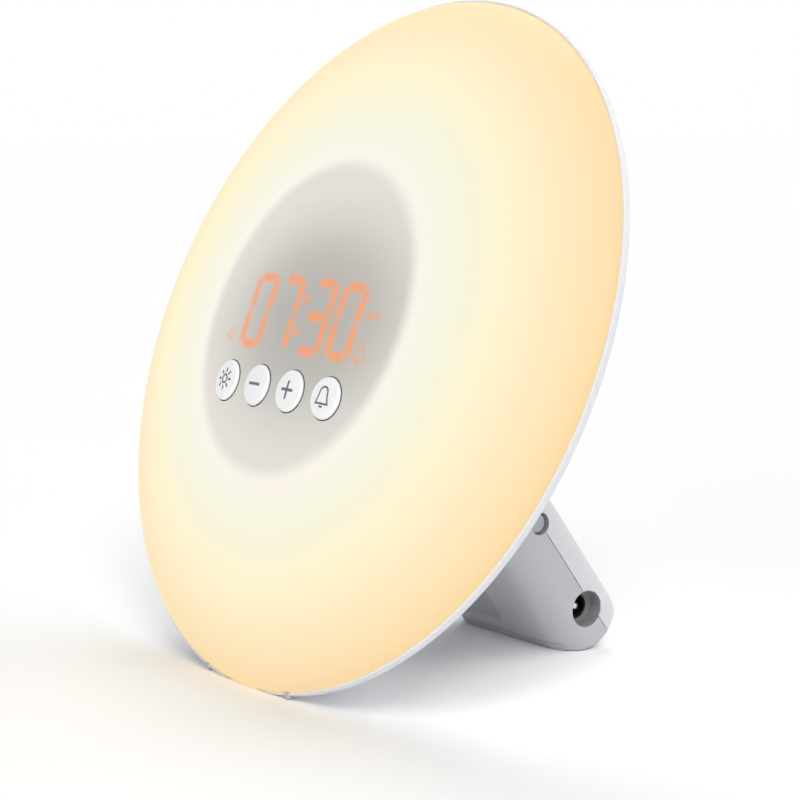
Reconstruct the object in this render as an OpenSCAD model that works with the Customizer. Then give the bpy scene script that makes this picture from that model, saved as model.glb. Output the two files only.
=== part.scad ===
// Sunrise alarm clock: a domed light disc that leans back on a slab leg.
// Millimetres, +Z up, front towards -Y, origin under the middle of the overall box.

/* [Light disc] */
// Diameter of the disc over its rim
disc_d = 190; // [180:1:210]
// Angle that the disc leans back from upright
disc_tilt = 22.4; // [18:0.1:27]
// Rise of the dome above the rim plane
dome_rise = 20.4; // [18:0.1:23]
// Power that flattens the middle of the dome
dome_flat = 2.03; // [1.9:0.01:2.2]
// Power that fills out the edge of the dome
dome_full = 1.68; // [1.6:0.01:1.9]
// Wall of the milky dome
dome_wall = 2; // [1.6:0.1:2.6]
// Width of the rim's lip around the dome
lip_w = 0.76; // [0.6:0.02:1.2]
// Depth of the rim's straight side
rim_band = 1.9; // [1.4:0.1:3]
// Clearance under the lowest edge of the dome
under_gap = 0.13; // [0.1:0.01:0.6]

/* [Back shell] */
// Depth of the back behind the rim plane
back_depth = 16; // [14:0.1:20]
// Wall of the back shell
back_wall = 2; // [1.6:0.1:2.6]
// Slope of the flank behind the rim
flank_angle = 32; // [28:1:36]
// Radius where the flank turns into the flat back
flank_round = 10; // [6:0.5:14]
// Distance between the two feet under the rim
feet_pitch = 37.6; // [32:0.2:44]
// Diameter of a foot
feet_d = 2.3; // [1.8:0.1:3]

/* [Front buttons] */
// Diameter of a button cap
button_d = 10.9; // [10.2:0.1:11.8]
// Distance between neighbouring buttons
button_pitch = 15.2; // [14.8:0.05:15.6]
// Distance of the button row below the middle of the disc
button_drop = 20.4; // [20:0.1:22]
// Height of a cap above the dome
button_proud = 1.8; // [1.2:0.1:2.2]
// Gap round a cap
button_gap = 0.25; // [0.15:0.05:0.4]
// Travel of a button
button_travel = 0.6; // [0.3:0.05:0.7]

/* [Display] */
// Height of a digit
digit_h = 20.4; // [17:0.1:21]
// Width of a digit
digit_w = 8.6; // [7.4:0.1:9.2]
// Width of one bar of a digit
bar_w = 1.7; // [1.3:0.1:2.2]
// Distance between the two digits of a pair
digit_pitch = 12.8; // [12:0.1:13.4]
// Distance from the colon to the middle of its nearest digits
colon_pitch = 7.2; // [6.6:0.1:7.6]
// Space between the buttons and the light-tight housing
housing_space = 2.5; // [1.5:0.1:3.5]
// Wall of the light-tight housing
housing_wall = 1.5; // [1.2:0.1:2.2]
// Height of the display board's face above the rim plane
board_level = 6; // [5.4:0.1:6.6]

/* [Light engine] */
// Thickness of every circuit board
board_t = 1.6; // [1.2:0.1:2]
// Gap between the light-tight housing and the ring board
ring_gap = 2.4; // [2.2:0.1:3.4]
// Width of the ring board
ring_w = 12.6; // [11:0.1:13]
// Number of white LEDs on the ring
white_count = 24; // [12:1:30]
// Number of amber LEDs on the ring
amber_count = 12; // [6:1:15]
// Thickness of the reflector
reflector_t = 1.2; // [1:0.1:1.6]
// Level of the reflector's flat face below the rim plane
reflector_level = 5.2; // [4.8:0.1:5.6]

/* [Leg] */
// Width of the leg
leg_w = 50.6; // [48:0.1:56]
// Thickness of the leg
leg_t = 23.2; // [22:0.1:25]
// Slope of the leg from the floor
leg_angle = 53.3; // [50:0.1:57]
// Distance from the disc's middle down to the leg's root
leg_drop = 8.4; // [6:0.1:11]
// Radius of the leg's front corners
front_round = 7.5; // [5:0.1:9]
// Radius of the leg's rear corners
rear_round = 7.5; // [6:0.1:8.5]
// Radius of the edges round the leg's lower end
end_round = 1.5; // [1:0.1:2.5]
// Wall of the leg's shells
leg_wall = 2; // [1.6:0.1:2.4]
// Distance of the seam behind the middle of the leg
seam_off = 2.3; // [1.5:0.1:3]
// Width of the open seam line
seam_gap = 0.25; // [0.15:0.05:0.4]
// Height of the foot strip
strip_h = 2.2; // [1.6:0.1:3]
// Width of the foot strip
strip_w = 45; // [40:0.5:46]

/* [Power inlet] */
// Diameter of the round recess in the leg's side
recess_d = 10; // [9:0.1:10.6]
// Depth of the recess
recess_depth = 4.5; // [4:0.1:5.5]
// Diameter of the socket's opening
socket_d = 6.3; // [6:0.1:6.6]
// Depth of the socket
socket_depth = 9; // [8:0.1:10]
// Diameter of the socket's centre pin
pin_d = 2.1; // [1.7:0.1:2.5]

/* [Side buttons] */
// Diameter of a side button's cap
side_d = 5.6; // [5:0.1:6]
// Depth of the cap's face below the leg's side
side_sunk = 1.3; // [0.8:0.1:1.8]
// Distance of the side buttons up the leg from its lower end's centre
side_up = 30; // [28:0.5:33]

/* [Speaker] */
// Diameter of the speaker's frame
speaker_d = 34; // [32:0.5:35]
// Distance of the speaker down the leg from its root
speaker_down = 25; // [23.5:0.5:26]
// Diameter of a grille hole
grille_hole = 2; // [1.4:0.1:2.2]
// Distance between neighbouring grille holes
grille_pitch = 3.2; // [3:0.1:3.3]
// Rings of grille holes round the middle one
grille_rings = 4; // [2:1:4]

/* [Hidden] */
$fn = 64;
fit = 0.1;              // slip clearance between fixed pieces
seat = 0.3;             // clearance under a curved or sprung face
big = 400;              // larger than the whole clock
hair = 0.01;            // keeps two cuts from sharing a face
disc_r = disc_d / 2;
dome_r = disc_r - lip_w;
sin_t = sin(disc_tilt);
cos_t = cos(disc_tilt);
centre_z = dome_r * cos_t + under_gap;
dome_steps = 30;

// height of a dome of the given rise and edge radius at radius r
function dome_z(r, rise, edge) = rise * pow(max(1 - pow(r / edge, dome_flat), 0), 1 / dome_full);
function dome_line(rise, edge) =
    [for (i = [0:dome_steps]) let (r = edge * sin(90 * i / dome_steps)) [r, dome_z(r, rise, edge)]];
function outer_z(r) = dome_z(r, dome_rise, dome_r);
function inner_z(r) = dome_z(r, dome_rise - dome_wall, dome_r - dome_wall);
function arc(centre, r, from, to, steps) =
    [for (i = [0:steps]) let (a = from + (to - from) * i / steps) centre + r * [cos(a), sin(a)]];
function backwards(list) = [for (i = [len(list) - 1:-1:0]) list[i]];

// leg: the middle of its rounded lower end, in the frame of the disc's middle
leg_h = leg_t / 2;
root_y = back_depth * cos_t - leg_drop * sin_t;
root_z = centre_z - leg_drop * cos_t - back_depth * sin_t;
leg_len = (root_z - leg_h) / sin(leg_angle);
end_y = root_y + leg_len * cos(leg_angle);
// half of the leg's reach above the root, so that its top is always trimmed by the back
leg_over = 30;
leg_long = leg_len + leg_over;
front_reach = max([for (p = dome_line(dome_rise, dome_r)) p.x * sin_t + p.y * cos_t]);
shift_y = (front_reach - end_y - leg_h) / 2;

// seat of the dome in the back shell
seat_drop = 0.9;
flange_in = 5;          // width of the ledge inside the rim
ledge_r = disc_r - flange_in;
bead = 0.45;            // annular snap bead
bead_z = -1.7;
skirt_t = 1.6;
skirt_z = -2.3;

// front buttons and their switches
button_x = [for (i = [-1.5:1:1.5]) i * button_pitch];
hole_r = button_d / 2 + button_gap;
sleeve_wall = 1.1;
switch_w = 6;
switch_h = 3.6;
plunger_r = 1.5;
plunger_out = 0.8;
plunger_in = 1;
plunger_fit = 0.2;
cap_flange = 1;
cap_wall = 1.3;
stem_r = 1.7;
cap_foot = 0.5;         // stem below the flange
switch_top = board_level + switch_h;
cap_bottom = switch_top + plunger_out + cap_foot;
sleeve_bottom = cap_bottom + cap_flange + fit;
flange_r = hole_r + 0.7;
housing_r = norm([button_x[3], button_drop]) + flange_r + housing_wall + housing_space;
ring_in = housing_r + ring_gap;
cap_round = 0.5;
cap_crown = 0.3;

// display
frame_w = 2 * (colon_pitch + digit_pitch) + digit_w + 13;
frame_top_y = digit_h / 2 + 1.4;
frame_low_y = button_drop - flange_r - 0.6;
frame_r = norm([frame_w / 2, max(frame_top_y, frame_low_y)]);
frame_z = inner_z(frame_r) - seat;
digit_y = -0.5;
digit_x = [-colon_pitch - digit_pitch, -colon_pitch, colon_pitch, colon_pitch + digit_pitch];
// lit bars of 07:30, in the order top, upper left, upper right, middle, lower left, lower right, bottom
digit_bars = [[0, 1, 2, 4, 5, 6], [0, 2, 5], [0, 2, 3, 5, 6], [0, 1, 2, 4, 5, 6]];
bar_gap = 0.35;
board_r = housing_r - housing_wall - 1.4;
post_at = board_r - 3.2;
housing_floor = board_level - board_t;
housing_top = inner_z(housing_r) - seat;
mark_r = 2.2;
mark_y = -8;            // the two marks beside the digits
frame_round = 3;
digit_led_h = 1;

// light engine
flat_r = ring_in + ring_w + 9;
well_r = 30;            // open middle of the reflector
ring_z = board_t - reflector_level;
ring_mid = ring_in + ring_w / 2;
fixing_r = ring_in + ring_w + 4.5;
reflector_edge = ledge_r - skirt_t - 1.1;
fixings = 6;

// main board
main_w = 72;
main_h = 46;
main_y = 26;
main_z = 1.5 - back_depth + back_wall;      // underside of the board
main_top = main_z + board_t;

// screws
screw_r = 1.3;
head_r = 2.5;
head_h = 1.6;
boss_r = 3;

// leg openings
lead_r = 6;
plate_t = 2.4;
seam_n = seam_off;
side_x = leg_w / 2;
jack_n = 0.6;
jack_s = 0.5;
cup_wall = 1.2;
cup_floor = 1.2;
jack_x = side_x - recess_depth - cup_floor;
jack_w = 10;
jack_h = 9;
jack_len = socket_depth + 4;
jack_board_t = 1.2;
guide_wall = 1;
guide_in = side_x - 5.4;
side_r = side_d / 2;
side_gap = 0.25;
side_flange = 0.8;
side_stem = 0.6;
side_face = side_x - side_sunk;
side_low = guide_in - fit - side_flange - side_stem;   // inner end of a side cap
side_switch_h = 3;
side_board_x = side_low - plunger_out - side_switch_h - jack_board_t;
side_n = seam_n;
screw_low = 13;         // the leg's lower screws, up from its end
screw_root = 7;         // its upper screws, down from its root
screw_s = [-screw_low, screw_root - leg_len];
screw_x = side_x - rear_round - 0.4;
tab_t = 1.2;
tab_l = 8;
tab_s = [screw_s[1] + boss_r + seat + tab_l / 2,
    side_r + side_gap + guide_wall + seat + tab_l / 2 - side_up];
speaker_r = speaker_d / 2;
speaker_up = leg_len - speaker_down;
speaker_n = leg_h - leg_wall;
gasket_t = 0.8;
speaker_flange = 1.2;
speaker_depth = 9;
magnet_r = 8.5;
magnet_h = 4;
speaker_low = -gasket_t - speaker_flange;
cone_seat = 0.6;
cone_t = 0.5;
clamp_long = leg_wall - speaker_low - 1;

// frames ------------------------------------------------------------------
// clock: the disc's middle stands over y = 0 before this shift
module in_clock() translate([0, shift_y, 0]) children();
// disc: x right, y up the disc, z out of its face, origin in the rim plane
module in_disc() in_clock() translate([0, 0, centre_z]) rotate([90 - disc_tilt, 0, 0]) children();
// leg: x right, y down the leg, z out of its rear face, origin in its rounded lower end
module in_leg() in_clock() translate([0, end_y, leg_h]) rotate([-leg_angle, 0, 0]) children();
// turns a profile drawn in (y, z) into a slab along x
module along_x(length) rotate([90, 0, 90]) translate([0, 0, -length / 2])
    linear_extrude(length) children();
module at_buttons() for (x = button_x) translate([x, -button_drop, 0]) children();
module ring_of(count, r, from = 0)
    for (i = [0:count - 1]) rotate(from + i * 360 / count) translate([r, 0, 0]) children();
module tube(r_out, r_in, h) difference() {
    cylinder(r = r_out, h = h);
    translate([0, 0, -hair]) cylinder(r = r_in, h = h + 2 * hair);
}
module rounded(w, h, r) {
    square([w - 2 * r, h], center = true);
    square([w, h - 2 * r], center = true);
    for (x = [-1, 1], y = [-1, 1]) translate([x * (w / 2 - r), y * (h / 2 - r)]) circle(r);
}
// pan-head screw along -z, its head standing on z = 0
module screw(length) {
    rotate_extrude() polygon(concat([[0, head_h]],
        arc([head_r - 0.7, head_h - 0.7], 0.7, 90, 0, 4), [[head_r, 0], [screw_r, 0],
        [screw_r, -length + 0.6], [screw_r - 0.6, -length], [0, -length]]));
}
// lead swept along points, eight-sided
lead_sides = 8;
function unit(v) = v / norm(v);
function lead_way(p, i) = unit(p[min(i + 1, len(p) - 1)] - p[max(i - 1, 0)]);
function lead_ring(at, way, r) =
    let (side = unit(cross(way, [0.31, 0.92, 0.23])), up = cross(side, way))
    [for (k = [0:lead_sides - 1]) at + r * (cos(45 * k) * side + sin(45 * k) * up)];
function bend(a, b, c, d, t) = let (u = 1 - t)
    u * u * u * a + 3 * u * u * t * b + 3 * u * t * t * c + t * t * t * d;
function curve(a, b, c, d, steps) = [for (i = [0:steps]) bend(a, b, c, d, i / steps)];
module lead(path, r) {
    last = (len(path) - 1) * lead_sides;
    polyhedron(
        points = [for (i = [0:len(path) - 1]) each lead_ring(path[i], lead_way(path, i), r)],
        faces = concat([[for (k = [0:lead_sides - 1]) k]],
            [for (i = [0:len(path) - 2], k = [0:lead_sides - 1])
                let (a = i * lead_sides, n = (k + 1) % lead_sides, b = a + lead_sides)
                each [[a + k, b + k, b + n], [a + k, b + n, a + n]]],
            [[for (k = [lead_sides - 1:-1:0]) last + k]]));
}

// light disc --------------------------------------------------------------
module dome_solid(rise, edge) rotate_extrude($fn = 180) polygon(concat([[0, 0]], dome_line(rise, edge)));

module diffuser() color([0.99, 0.95, 0.84]) in_disc() difference() {
    union() {
        rotate_extrude($fn = 180) polygon(concat(dome_line(dome_rise, dome_r),
            [[dome_r, -seat_drop + fit], [ledge_r - fit, -seat_drop + fit],
             [ledge_r - fit, bead_z + bead], [ledge_r - fit + bead / 2, bead_z],
             [ledge_r - fit, bead_z - bead], [ledge_r - fit, skirt_z],
             [ledge_r - fit - skirt_t, skirt_z],
             [ledge_r - fit - skirt_t, inner_z(ledge_r - fit - skirt_t)]],
            backwards([for (p = dome_line(dome_rise - dome_wall, dome_r - dome_wall))
                if (p.x < ledge_r - fit - skirt_t - hair) p])));
        intersection() {
            dome_solid(dome_rise - dome_wall / 2, dome_r - dome_wall / 2);
            at_buttons() translate([0, 0, sleeve_bottom])
                cylinder(r = hole_r + sleeve_wall, h = dome_rise);
        }
    }
    at_buttons() cylinder(r = hole_r, h = 2 * dome_rise);
}

// outline of the back, inset by a wall
function flank_z(r, inset) =
    -rim_band - (disc_r - r) * tan(flank_angle) + inset / cos(flank_angle);
flank_foot = disc_r - (back_depth - rim_band) / tan(flank_angle) - flank_round * tan(flank_angle / 2);
function flank_line(inset) = concat([[0, inset - back_depth]],
    arc([flank_foot, flank_round - back_depth], flank_round - inset, -90, flank_angle - 90, 8));
module under_rim() translate([-big / 2, -big / 2, under_gap - big]) cube(big);

rib_count = 12;
rib_t = 1.4;
rib_h = 3;
collar_h = 1.4;
module back_shell() color([0.91, 0.92, 0.93]) difference() {
    in_disc() difference() {
        union() {
            rotate_extrude($fn = 180) polygon(concat(flank_line(0),
                [[disc_r, -rim_band], [disc_r, -0.2], [disc_r - 0.2, 0], [dome_r + fit, 0],
                 [dome_r + fit, -seat_drop], [ledge_r, -seat_drop],
                 [ledge_r, bead_z + bead + fit], [ledge_r + bead / 2 + fit, bead_z],
                 [ledge_r, bead_z - bead - fit], [ledge_r, flank_z(ledge_r, back_wall)]],
                backwards(flank_line(back_wall))));
            // posts for the reflector, the main board and the leg's screws
            ring_of(fixings, fixing_r, 30) post(-reflector_level - reflector_t);
            at_main_holes() post(main_z);
            at_stand_holes() post(rib_h - back_depth + back_wall);
            // stiffening ribs on the floor and the flank
            ring_of(rib_count, 0, 15) translate([fixing_r - 4, -rib_t / 2, -back_depth + back_wall / 2])
                rotate([90, 0, 0]) mirror([0, 0, 1]) linear_extrude(rib_t)
                polygon([[0, 0], [flank_foot + 2 - fixing_r, 0], [ledge_r - 4 - fixing_r + 4,
                    back_depth + flank_z(ledge_r - 4, back_wall / 2) - back_wall / 2],
                    [flank_foot + 4 - fixing_r, rib_h + 1], [0, rib_h]]);
            // collar round the way of the leads
            translate([0, -leg_drop, -back_depth + back_wall - hair])
                cylinder(r = lead_r + 1.6, h = collar_h);
        }
        ring_of(fixings, fixing_r, 30) translate([0, 0, -back_depth + back_wall])
            cylinder(r = screw_r, h = back_depth);
        at_main_holes() translate([0, 0, -back_depth + 0.8]) cylinder(r = screw_r, h = back_depth);
        at_stand_holes() translate([0, 0, -big / 2]) cylinder(r = screw_r + fit, h = big);
        translate([0, -leg_drop, -big / 2]) cylinder(r = lead_r, h = big);
    }
    in_clock() under_rim();
}
module post(top) translate([0, 0, -back_depth + back_wall / 2])
    cylinder(r = boss_r, h = top + back_depth - back_wall / 2);
module at_main_holes() for (x = [-1, 1], y = [-1, 1])
    translate([x * (main_w / 2 - 4), main_y + y * (main_h / 2 - 4), 0]) children();
stand_x = 11;
stand_y = 7;
module at_stand_holes() for (x = [-1, 1], y = [-1, 1])
    translate([x * stand_x, -leg_drop + y * stand_y, 0]) children();

foot_h = 3;             // before the rim trims it
module front_feet() color([0.86, 0.87, 0.88]) difference() {
    foot_a = asin(feet_pitch / disc_d);
    foot_y = rim_band * 0.65 * cos_t - disc_r * cos(foot_a) * sin_t;
    in_clock() for (x = [-1, 1]) translate([x * feet_pitch / 2, foot_y, 0])
        cylinder(d = feet_d, h = foot_h);
    in_disc() rotate_extrude($fn = 720) polygon(concat(flank_line(0),
        [[disc_r, -rim_band], [disc_r, foot_h], [0, foot_h]]));
}

module reflector() color([0.97, 0.97, 0.96]) in_disc() difference() {
    slope = [reflector_edge - flat_r, reflector_level + 0.4];
    across = unit([-slope.y, slope.x]) * reflector_t;
    rotate_extrude($fn = 120) polygon([[well_r, -reflector_level], [flat_r, -reflector_level],
        [reflector_edge, 0.4], [reflector_edge, 0.4] - across, [flat_r, -reflector_level - reflector_t],
        [well_r, -reflector_level - reflector_t]]);
    ring_of(fixings, fixing_r, 30) translate([0, 0, -2 * reflector_level])
        cylinder(r = screw_r + fit, h = 2 * reflector_level);
}
module reflector_screws() color("silver") in_disc() ring_of(fixings, fixing_r, 30)
    translate([0, 0, -reflector_level]) screw(6);

module led_board() color([0.93, 0.95, 0.93]) in_disc() translate([0, 0, -reflector_level])
    tube(ring_in + ring_w, ring_in, board_t);
module led() {
    translate([-1.75, -1.4, 0]) cube([3.5, 2.8, 0.8]);
    translate([0, 0, 0.8 - hair]) cylinder(r = 1.1, h = 0.3);
}
led_step = 360 / (white_count + amber_count);
module leds_white() color([1, 0.98, 0.9]) in_disc() translate([0, 0, ring_z])
    ring_of(white_count, ring_mid + 2.5, led_step / 2) led();
module leds_amber() color([1, 0.7, 0.25]) in_disc() translate([0, 0, ring_z])
    ring_of(amber_count, ring_mid - 3, led_step * 1.5) led();
notch_w = 5;
module led_lead() color([0.85, 0.2, 0.15]) in_disc() for (x = [-0.9, 0.9])
    lead(concat(curve([x, ring_in + 2, ring_z + 0.7], [x, ring_in - 2, ring_z + 0.8],
        [x, well_r + 3, ring_z + 1.2], [x, well_r - 1.5, -reflector_level + 0.5], 8),
        curve([x, well_r - 2, -reflector_level - 0.4], [x, well_r - 2.6, -reflector_level - 1],
        [x, main_y + 0.5, main_top + plug_h + 1.2], [x, main_y + 0.5, main_top + plug_h + 0.05], 6)), 0.55);

// display -----------------------------------------------------------------
module display_housing() color([0.16, 0.16, 0.17]) in_disc() difference() {
    union() {
        translate([0, 0, -reflector_level])
            tube(housing_r, housing_r - housing_wall, housing_top + reflector_level);
        translate([0, 0, -reflector_level]) tube(ring_in - fit, housing_r - housing_wall, 1.2);
        translate([0, 0, housing_floor - 1.5]) cylinder(r = housing_r - housing_wall / 2, h = 1.5);
        ring_of(3, post_at, 90) translate([0, 0, housing_floor - 6]) cylinder(r = boss_r, h = 5);
    }
    ring_of(3, post_at, 90) translate([0, 0, housing_floor - 5]) cylinder(r = screw_r, h = 6);
    // ways for the ribbon cable and the ring board's lead
    translate([-9, ribbon_y - 2.5, housing_floor - 3]) cube([18, 6, 4]);
    translate([-notch_w / 2, housing_r - 4, -reflector_level - 1]) cube([notch_w, 8, 5.6]);
}
module display_board() color([0.1, 0.35, 0.2]) in_disc() difference() {
    translate([0, 0, housing_floor]) cylinder(r = board_r, h = board_t);
    ring_of(3, post_at, 90) translate([0, 0, housing_floor - 1]) cylinder(r = screw_r + fit, h = 4);
}
module display_screws() color("silver") in_disc() ring_of(3, post_at, 90)
    translate([0, 0, board_level]) screw(5);

// one bar of a digit, its ends cut to 45 degrees
module bar(length) {
    l = length / 2 - bar_gap;
    b = bar_w / 2;
    polygon([[-l, 0], [b - l, b], [l - b, b], [l, 0], [l - b, -b], [b - l, -b]]);
}
module digit(bars) {
    tall = (digit_h - bar_w) / 2;
    wide = digit_w - bar_w;
    for (b = bars) {
        if (b == 0) translate([0, tall]) bar(wide);
        if (b == 3) bar(wide);
        if (b == 6) translate([0, -tall]) bar(wide);
        if (b == 1 || b == 4) translate([-wide / 2, (b == 1 ? 0.5 : -0.5) * tall]) rotate(90) bar(tall);
        if (b == 2 || b == 5) translate([wide / 2, (b == 2 ? 0.5 : -0.5) * tall]) rotate(90) bar(tall);
    }
}
module marks() {
    for (y = [-1, 1]) translate([0, digit_y + y * digit_h * 0.22]) circle(bar_w / 2);
    for (x = [-1, 1]) translate([x * (frame_w / 2 - mark_r - 1.2), mark_y]) circle(mark_r);
}
module digit_frame() color([0.9, 0.9, 0.9]) in_disc() difference() {
    translate([0, (frame_top_y - frame_low_y) / 2, board_level]) linear_extrude(frame_z - board_level)
        rounded(frame_w, frame_top_y + frame_low_y, frame_round);
    translate([0, 0, board_level - 1]) linear_extrude(frame_z) {
        for (i = [0:3]) translate([digit_x[i], digit_y]) digit([0, 1, 2, 3, 4, 5, 6]);
        marks();
    }
}
module digit_leds() color([1, 0.55, 0.2]) in_disc() translate([0, 0, board_level])
    linear_extrude(digit_led_h) {
        for (i = [0:3]) translate([digit_x[i], digit_y]) digit(digit_bars[i]);
        marks();
    }

// front buttons -----------------------------------------------------------
module front_switches() color([0.12, 0.12, 0.13]) in_disc() at_buttons() difference() {
    translate([-switch_w / 2, -switch_w / 2, board_level]) cube([switch_w, switch_w, switch_h]);
    translate([0, 0, switch_top - plunger_in - button_travel - seat])
        cylinder(r = plunger_r + plunger_fit, h = switch_h);
}
// cap with a crowned top, a retaining flange and a stem that meets its switch
module front_cap(x) in_disc() translate([x, -button_drop, 0]) difference() {
    top = outer_z(norm([x, button_drop])) + button_proud;
    r = button_d / 2;
    rotate_extrude($fn = 96) polygon(concat([[0, top], [r * 0.4, top - cap_crown * 0.16]],
        arc([r - cap_round, top - cap_crown - cap_round], cap_round, 80, 0, 6),
        [[r, cap_bottom + cap_flange], [flange_r, cap_bottom + cap_flange],
         [flange_r, cap_bottom], [stem_r, cap_bottom], [stem_r, cap_bottom - cap_foot],
         [0, cap_bottom - cap_foot]]));
    translate([0, 0, cap_bottom - hair])
        tube(r - cap_wall, stem_r, top - cap_crown - cap_wall - cap_bottom);
}
module plunger() {
    top = switch_top + plunger_out;
    translate([0, 0, top - plunger_out - plunger_in]) cylinder(r = plunger_r, h = plunger_out + plunger_in);
}
module front_plunger(x) in_disc() translate([x, -button_drop, 0]) plunger();
module button_light() color([0.96, 0.96, 0.95]) front_cap(button_x[0]);
module button_minus() color([0.96, 0.96, 0.95]) front_cap(button_x[1]);
module button_plus() color([0.96, 0.96, 0.95]) front_cap(button_x[2]);
module button_alarm() color([0.96, 0.96, 0.95]) front_cap(button_x[3]);
module plunger_light() color([0.75, 0.73, 0.7]) front_plunger(button_x[0]);
module plunger_minus() color([0.75, 0.73, 0.7]) front_plunger(button_x[1]);
module plunger_plus() color([0.75, 0.73, 0.7]) front_plunger(button_x[2]);
module plunger_alarm() color([0.75, 0.73, 0.7]) front_plunger(button_x[3]);

// main board --------------------------------------------------------------
ribbon_y = main_y - 12;
module main_board() color([0.1, 0.35, 0.2]) in_disc() difference() {
    translate([0, main_y, main_z]) linear_extrude(board_t) rounded(main_w, main_h, 3);
    at_main_holes() translate([0, 0, main_z - 1]) cylinder(r = screw_r + fit, h = board_t + 2);
}
module on_main(x, y) in_disc() translate([x, main_y + y, main_top]) children();
// each chip: place as shares of the board, then its size
chips = [[-0.3, 0.13, 10, 10, 1.2], [0.28, 0.17, 7, 7, 1], [-0.03, 0.27, 5, 4, 1.1], [0.3, -0.13, 6, 5, 1.4]];
module main_chips() color([0.13, 0.13, 0.14]) for (c = chips)
    on_main(c[0] * main_w, c[1] * main_h) translate([-c[2] / 2, -c[3] / 2, 0]) cube([c[2], c[3], c[4]]);
can_r = 2;
module main_capacitors() color([0.75, 0.76, 0.78]) for (i = [0:2])
    on_main(3 * can_r * i - main_w / 3, -10) {
        cylinder(r = can_r, h = 3);
        translate([-can_r, -can_r, 0]) cube([2 * can_r, 2 * can_r, 0.6]);
    }
plug_h = 3;
plug_x = 7.5;           // the two lead plugs, either side of the middle
ribbon_w = 14;
module plug(w, l) translate([-w / 2, -l / 2, 0]) cube([w, l, plug_h]);
module main_connectors() color([0.93, 0.92, 0.86]) {
    for (x = [-plug_x, plug_x]) on_main(x, 3 - main_h / 2) plug(plug_x - 0.5, 5);
    on_main(0, ribbon_y - main_y) plug(ribbon_w + 2, 3);
    on_main(0, 0.5) plug(6, 4);
}
module board_screws() color("silver") in_disc() at_main_holes()
    translate([0, 0, main_top]) screw(2.6);
// flat cable that rises in one wave from the main board to the display board
ribbon_t = 0.5;
module ribbon_cable() color([0.8, 0.8, 0.82]) in_disc() {
    low = main_top + plug_h;
    high = housing_floor;
    steps = 16;
    wave = [for (i = [0:steps]) let (u = i / steps)
        [ribbon_y + 1.8 * sin(360 * u), low + (high - low) * u]];
    rotate([90, 0, 90]) translate([0, 0, -ribbon_w / 2]) linear_extrude(ribbon_w)
        polygon(concat([for (p = wave) p + [ribbon_t, 0]], backwards([for (p = wave) p])));
}
module stand_screws() color("silver") in_disc() at_stand_holes()
    translate([0, 0, rib_h - back_depth + back_wall]) screw(rib_h + back_wall + plate_t + 3);

// leg ---------------------------------------------------------------------
// section across the leg, with larger corners in front
module leg_section(w, half, front, rear) {
    side = w / 2;
    polygon(concat(arc([front - side, front - half], front, 180, 270, 8),
        arc([side - front, front - half], front, 270, 360, 8),
        arc([side - rear, half - rear], rear, 0, 90, 6),
        arc([rear - side, half - rear], rear, 90, 180, 6)));
}
// half section of the leg's end, out from its middle, with rounded edges
module end_half(side, half, r) polygon(concat([[0, -side]],
    r > 0 ? arc([half - r, r - side], r, 270, 360, 6) : [[half, -side]],
    r > 0 ? arc([half - r, side - r], r, 0, 90, 6) : [[half, side]],
    [[0, side]]));
// outline along the leg: plain run, round end and flat toe on the floor
module leg_run(side, half, r) {
    translate([-side, -leg_long, -leg_t]) cube([2 * side, leg_long, 2 * leg_t]);
    rotate([0, 90, 0]) rotate_extrude($fn = 120) end_half(side, half, r);
    rotate([leg_angle, 0, 0]) rotate([90, 90, 0]) linear_extrude(leg_t) end_half(side, half, r);
}
module leg_block(inset) {
    half = leg_h - inset;
    side = leg_w / 2 - inset;
    intersection() {
        translate([0, leg_t, 0]) rotate([90, 0, 0]) linear_extrude(leg_long + leg_t)
            leg_section(2 * side, half, front_round - inset, rear_round - inset);
        leg_run(side, half, end_round - inset);
    }
}
// everything in front of the disc's flat back
module beyond_back(gap = 0) in_disc() translate([-big / 2, -big / 2, gap - back_depth]) cube(big);
module below_n(n) translate([-big / 2, -big / 2, n - big]) cube(big);
module above_n(n) translate([-big / 2, -big / 2, n]) cube(big);
module side_hole(r, from, to, s, n) translate([0, s, n]) rotate([0, 90, 0])
    translate([0, 0, from]) cylinder(r = r, h = to - from);
module cup_solid(reach) side_hole(recess_d / 2 + cup_wall, jack_x, reach, jack_s, jack_n);
module cup_void() {
    side_hole(recess_d / 2, side_x - recess_depth, side_x + 1, jack_s, jack_n);
    side_hole(socket_d / 2, jack_x - 1, side_x, jack_s, jack_n);
}
module guide_solid(x) mirror([x < 0 ? 1 : 0, 0, 0])
    side_hole(side_r + side_gap + guide_wall, guide_in, side_x - leg_wall / 2, -side_up, side_n);
module guide_void(x) mirror([x < 0 ? 1 : 0, 0, 0])
    side_hole(side_r + side_gap, guide_in - 1, side_x + 1, -side_up, side_n);
module at_leg_screws() for (x = [-1, 1], s = screw_s) translate([x * screw_x, s, 0]) children();
module strip_room(gap) in_clock() translate([-strip_w / 2 - gap, 0, -big])
    cube([strip_w + 2 * gap, end_y + 2 + gap, big + strip_h]);

// shallow rounded pocket low on the leg's front
pocket_w = 22;
pocket_l = 30;
pocket_x = -8.6;
pocket_rise = 7.2;      // above the toe, up the slope
pocket_depth = 1.1;
pocket_round = 4;
toe_s = leg_h * (sin(leg_angle) - cos(leg_angle) * tan(leg_angle / 2));

// room inside the leg, sunk into the front shell's wall and clear of the rear cover's
module leg_core() {
    in_leg() intersection() {
        leg_block(leg_wall / 2);
        below_n(seam_n);
    }
    in_leg() leg_block(leg_wall + fit);
}

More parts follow.
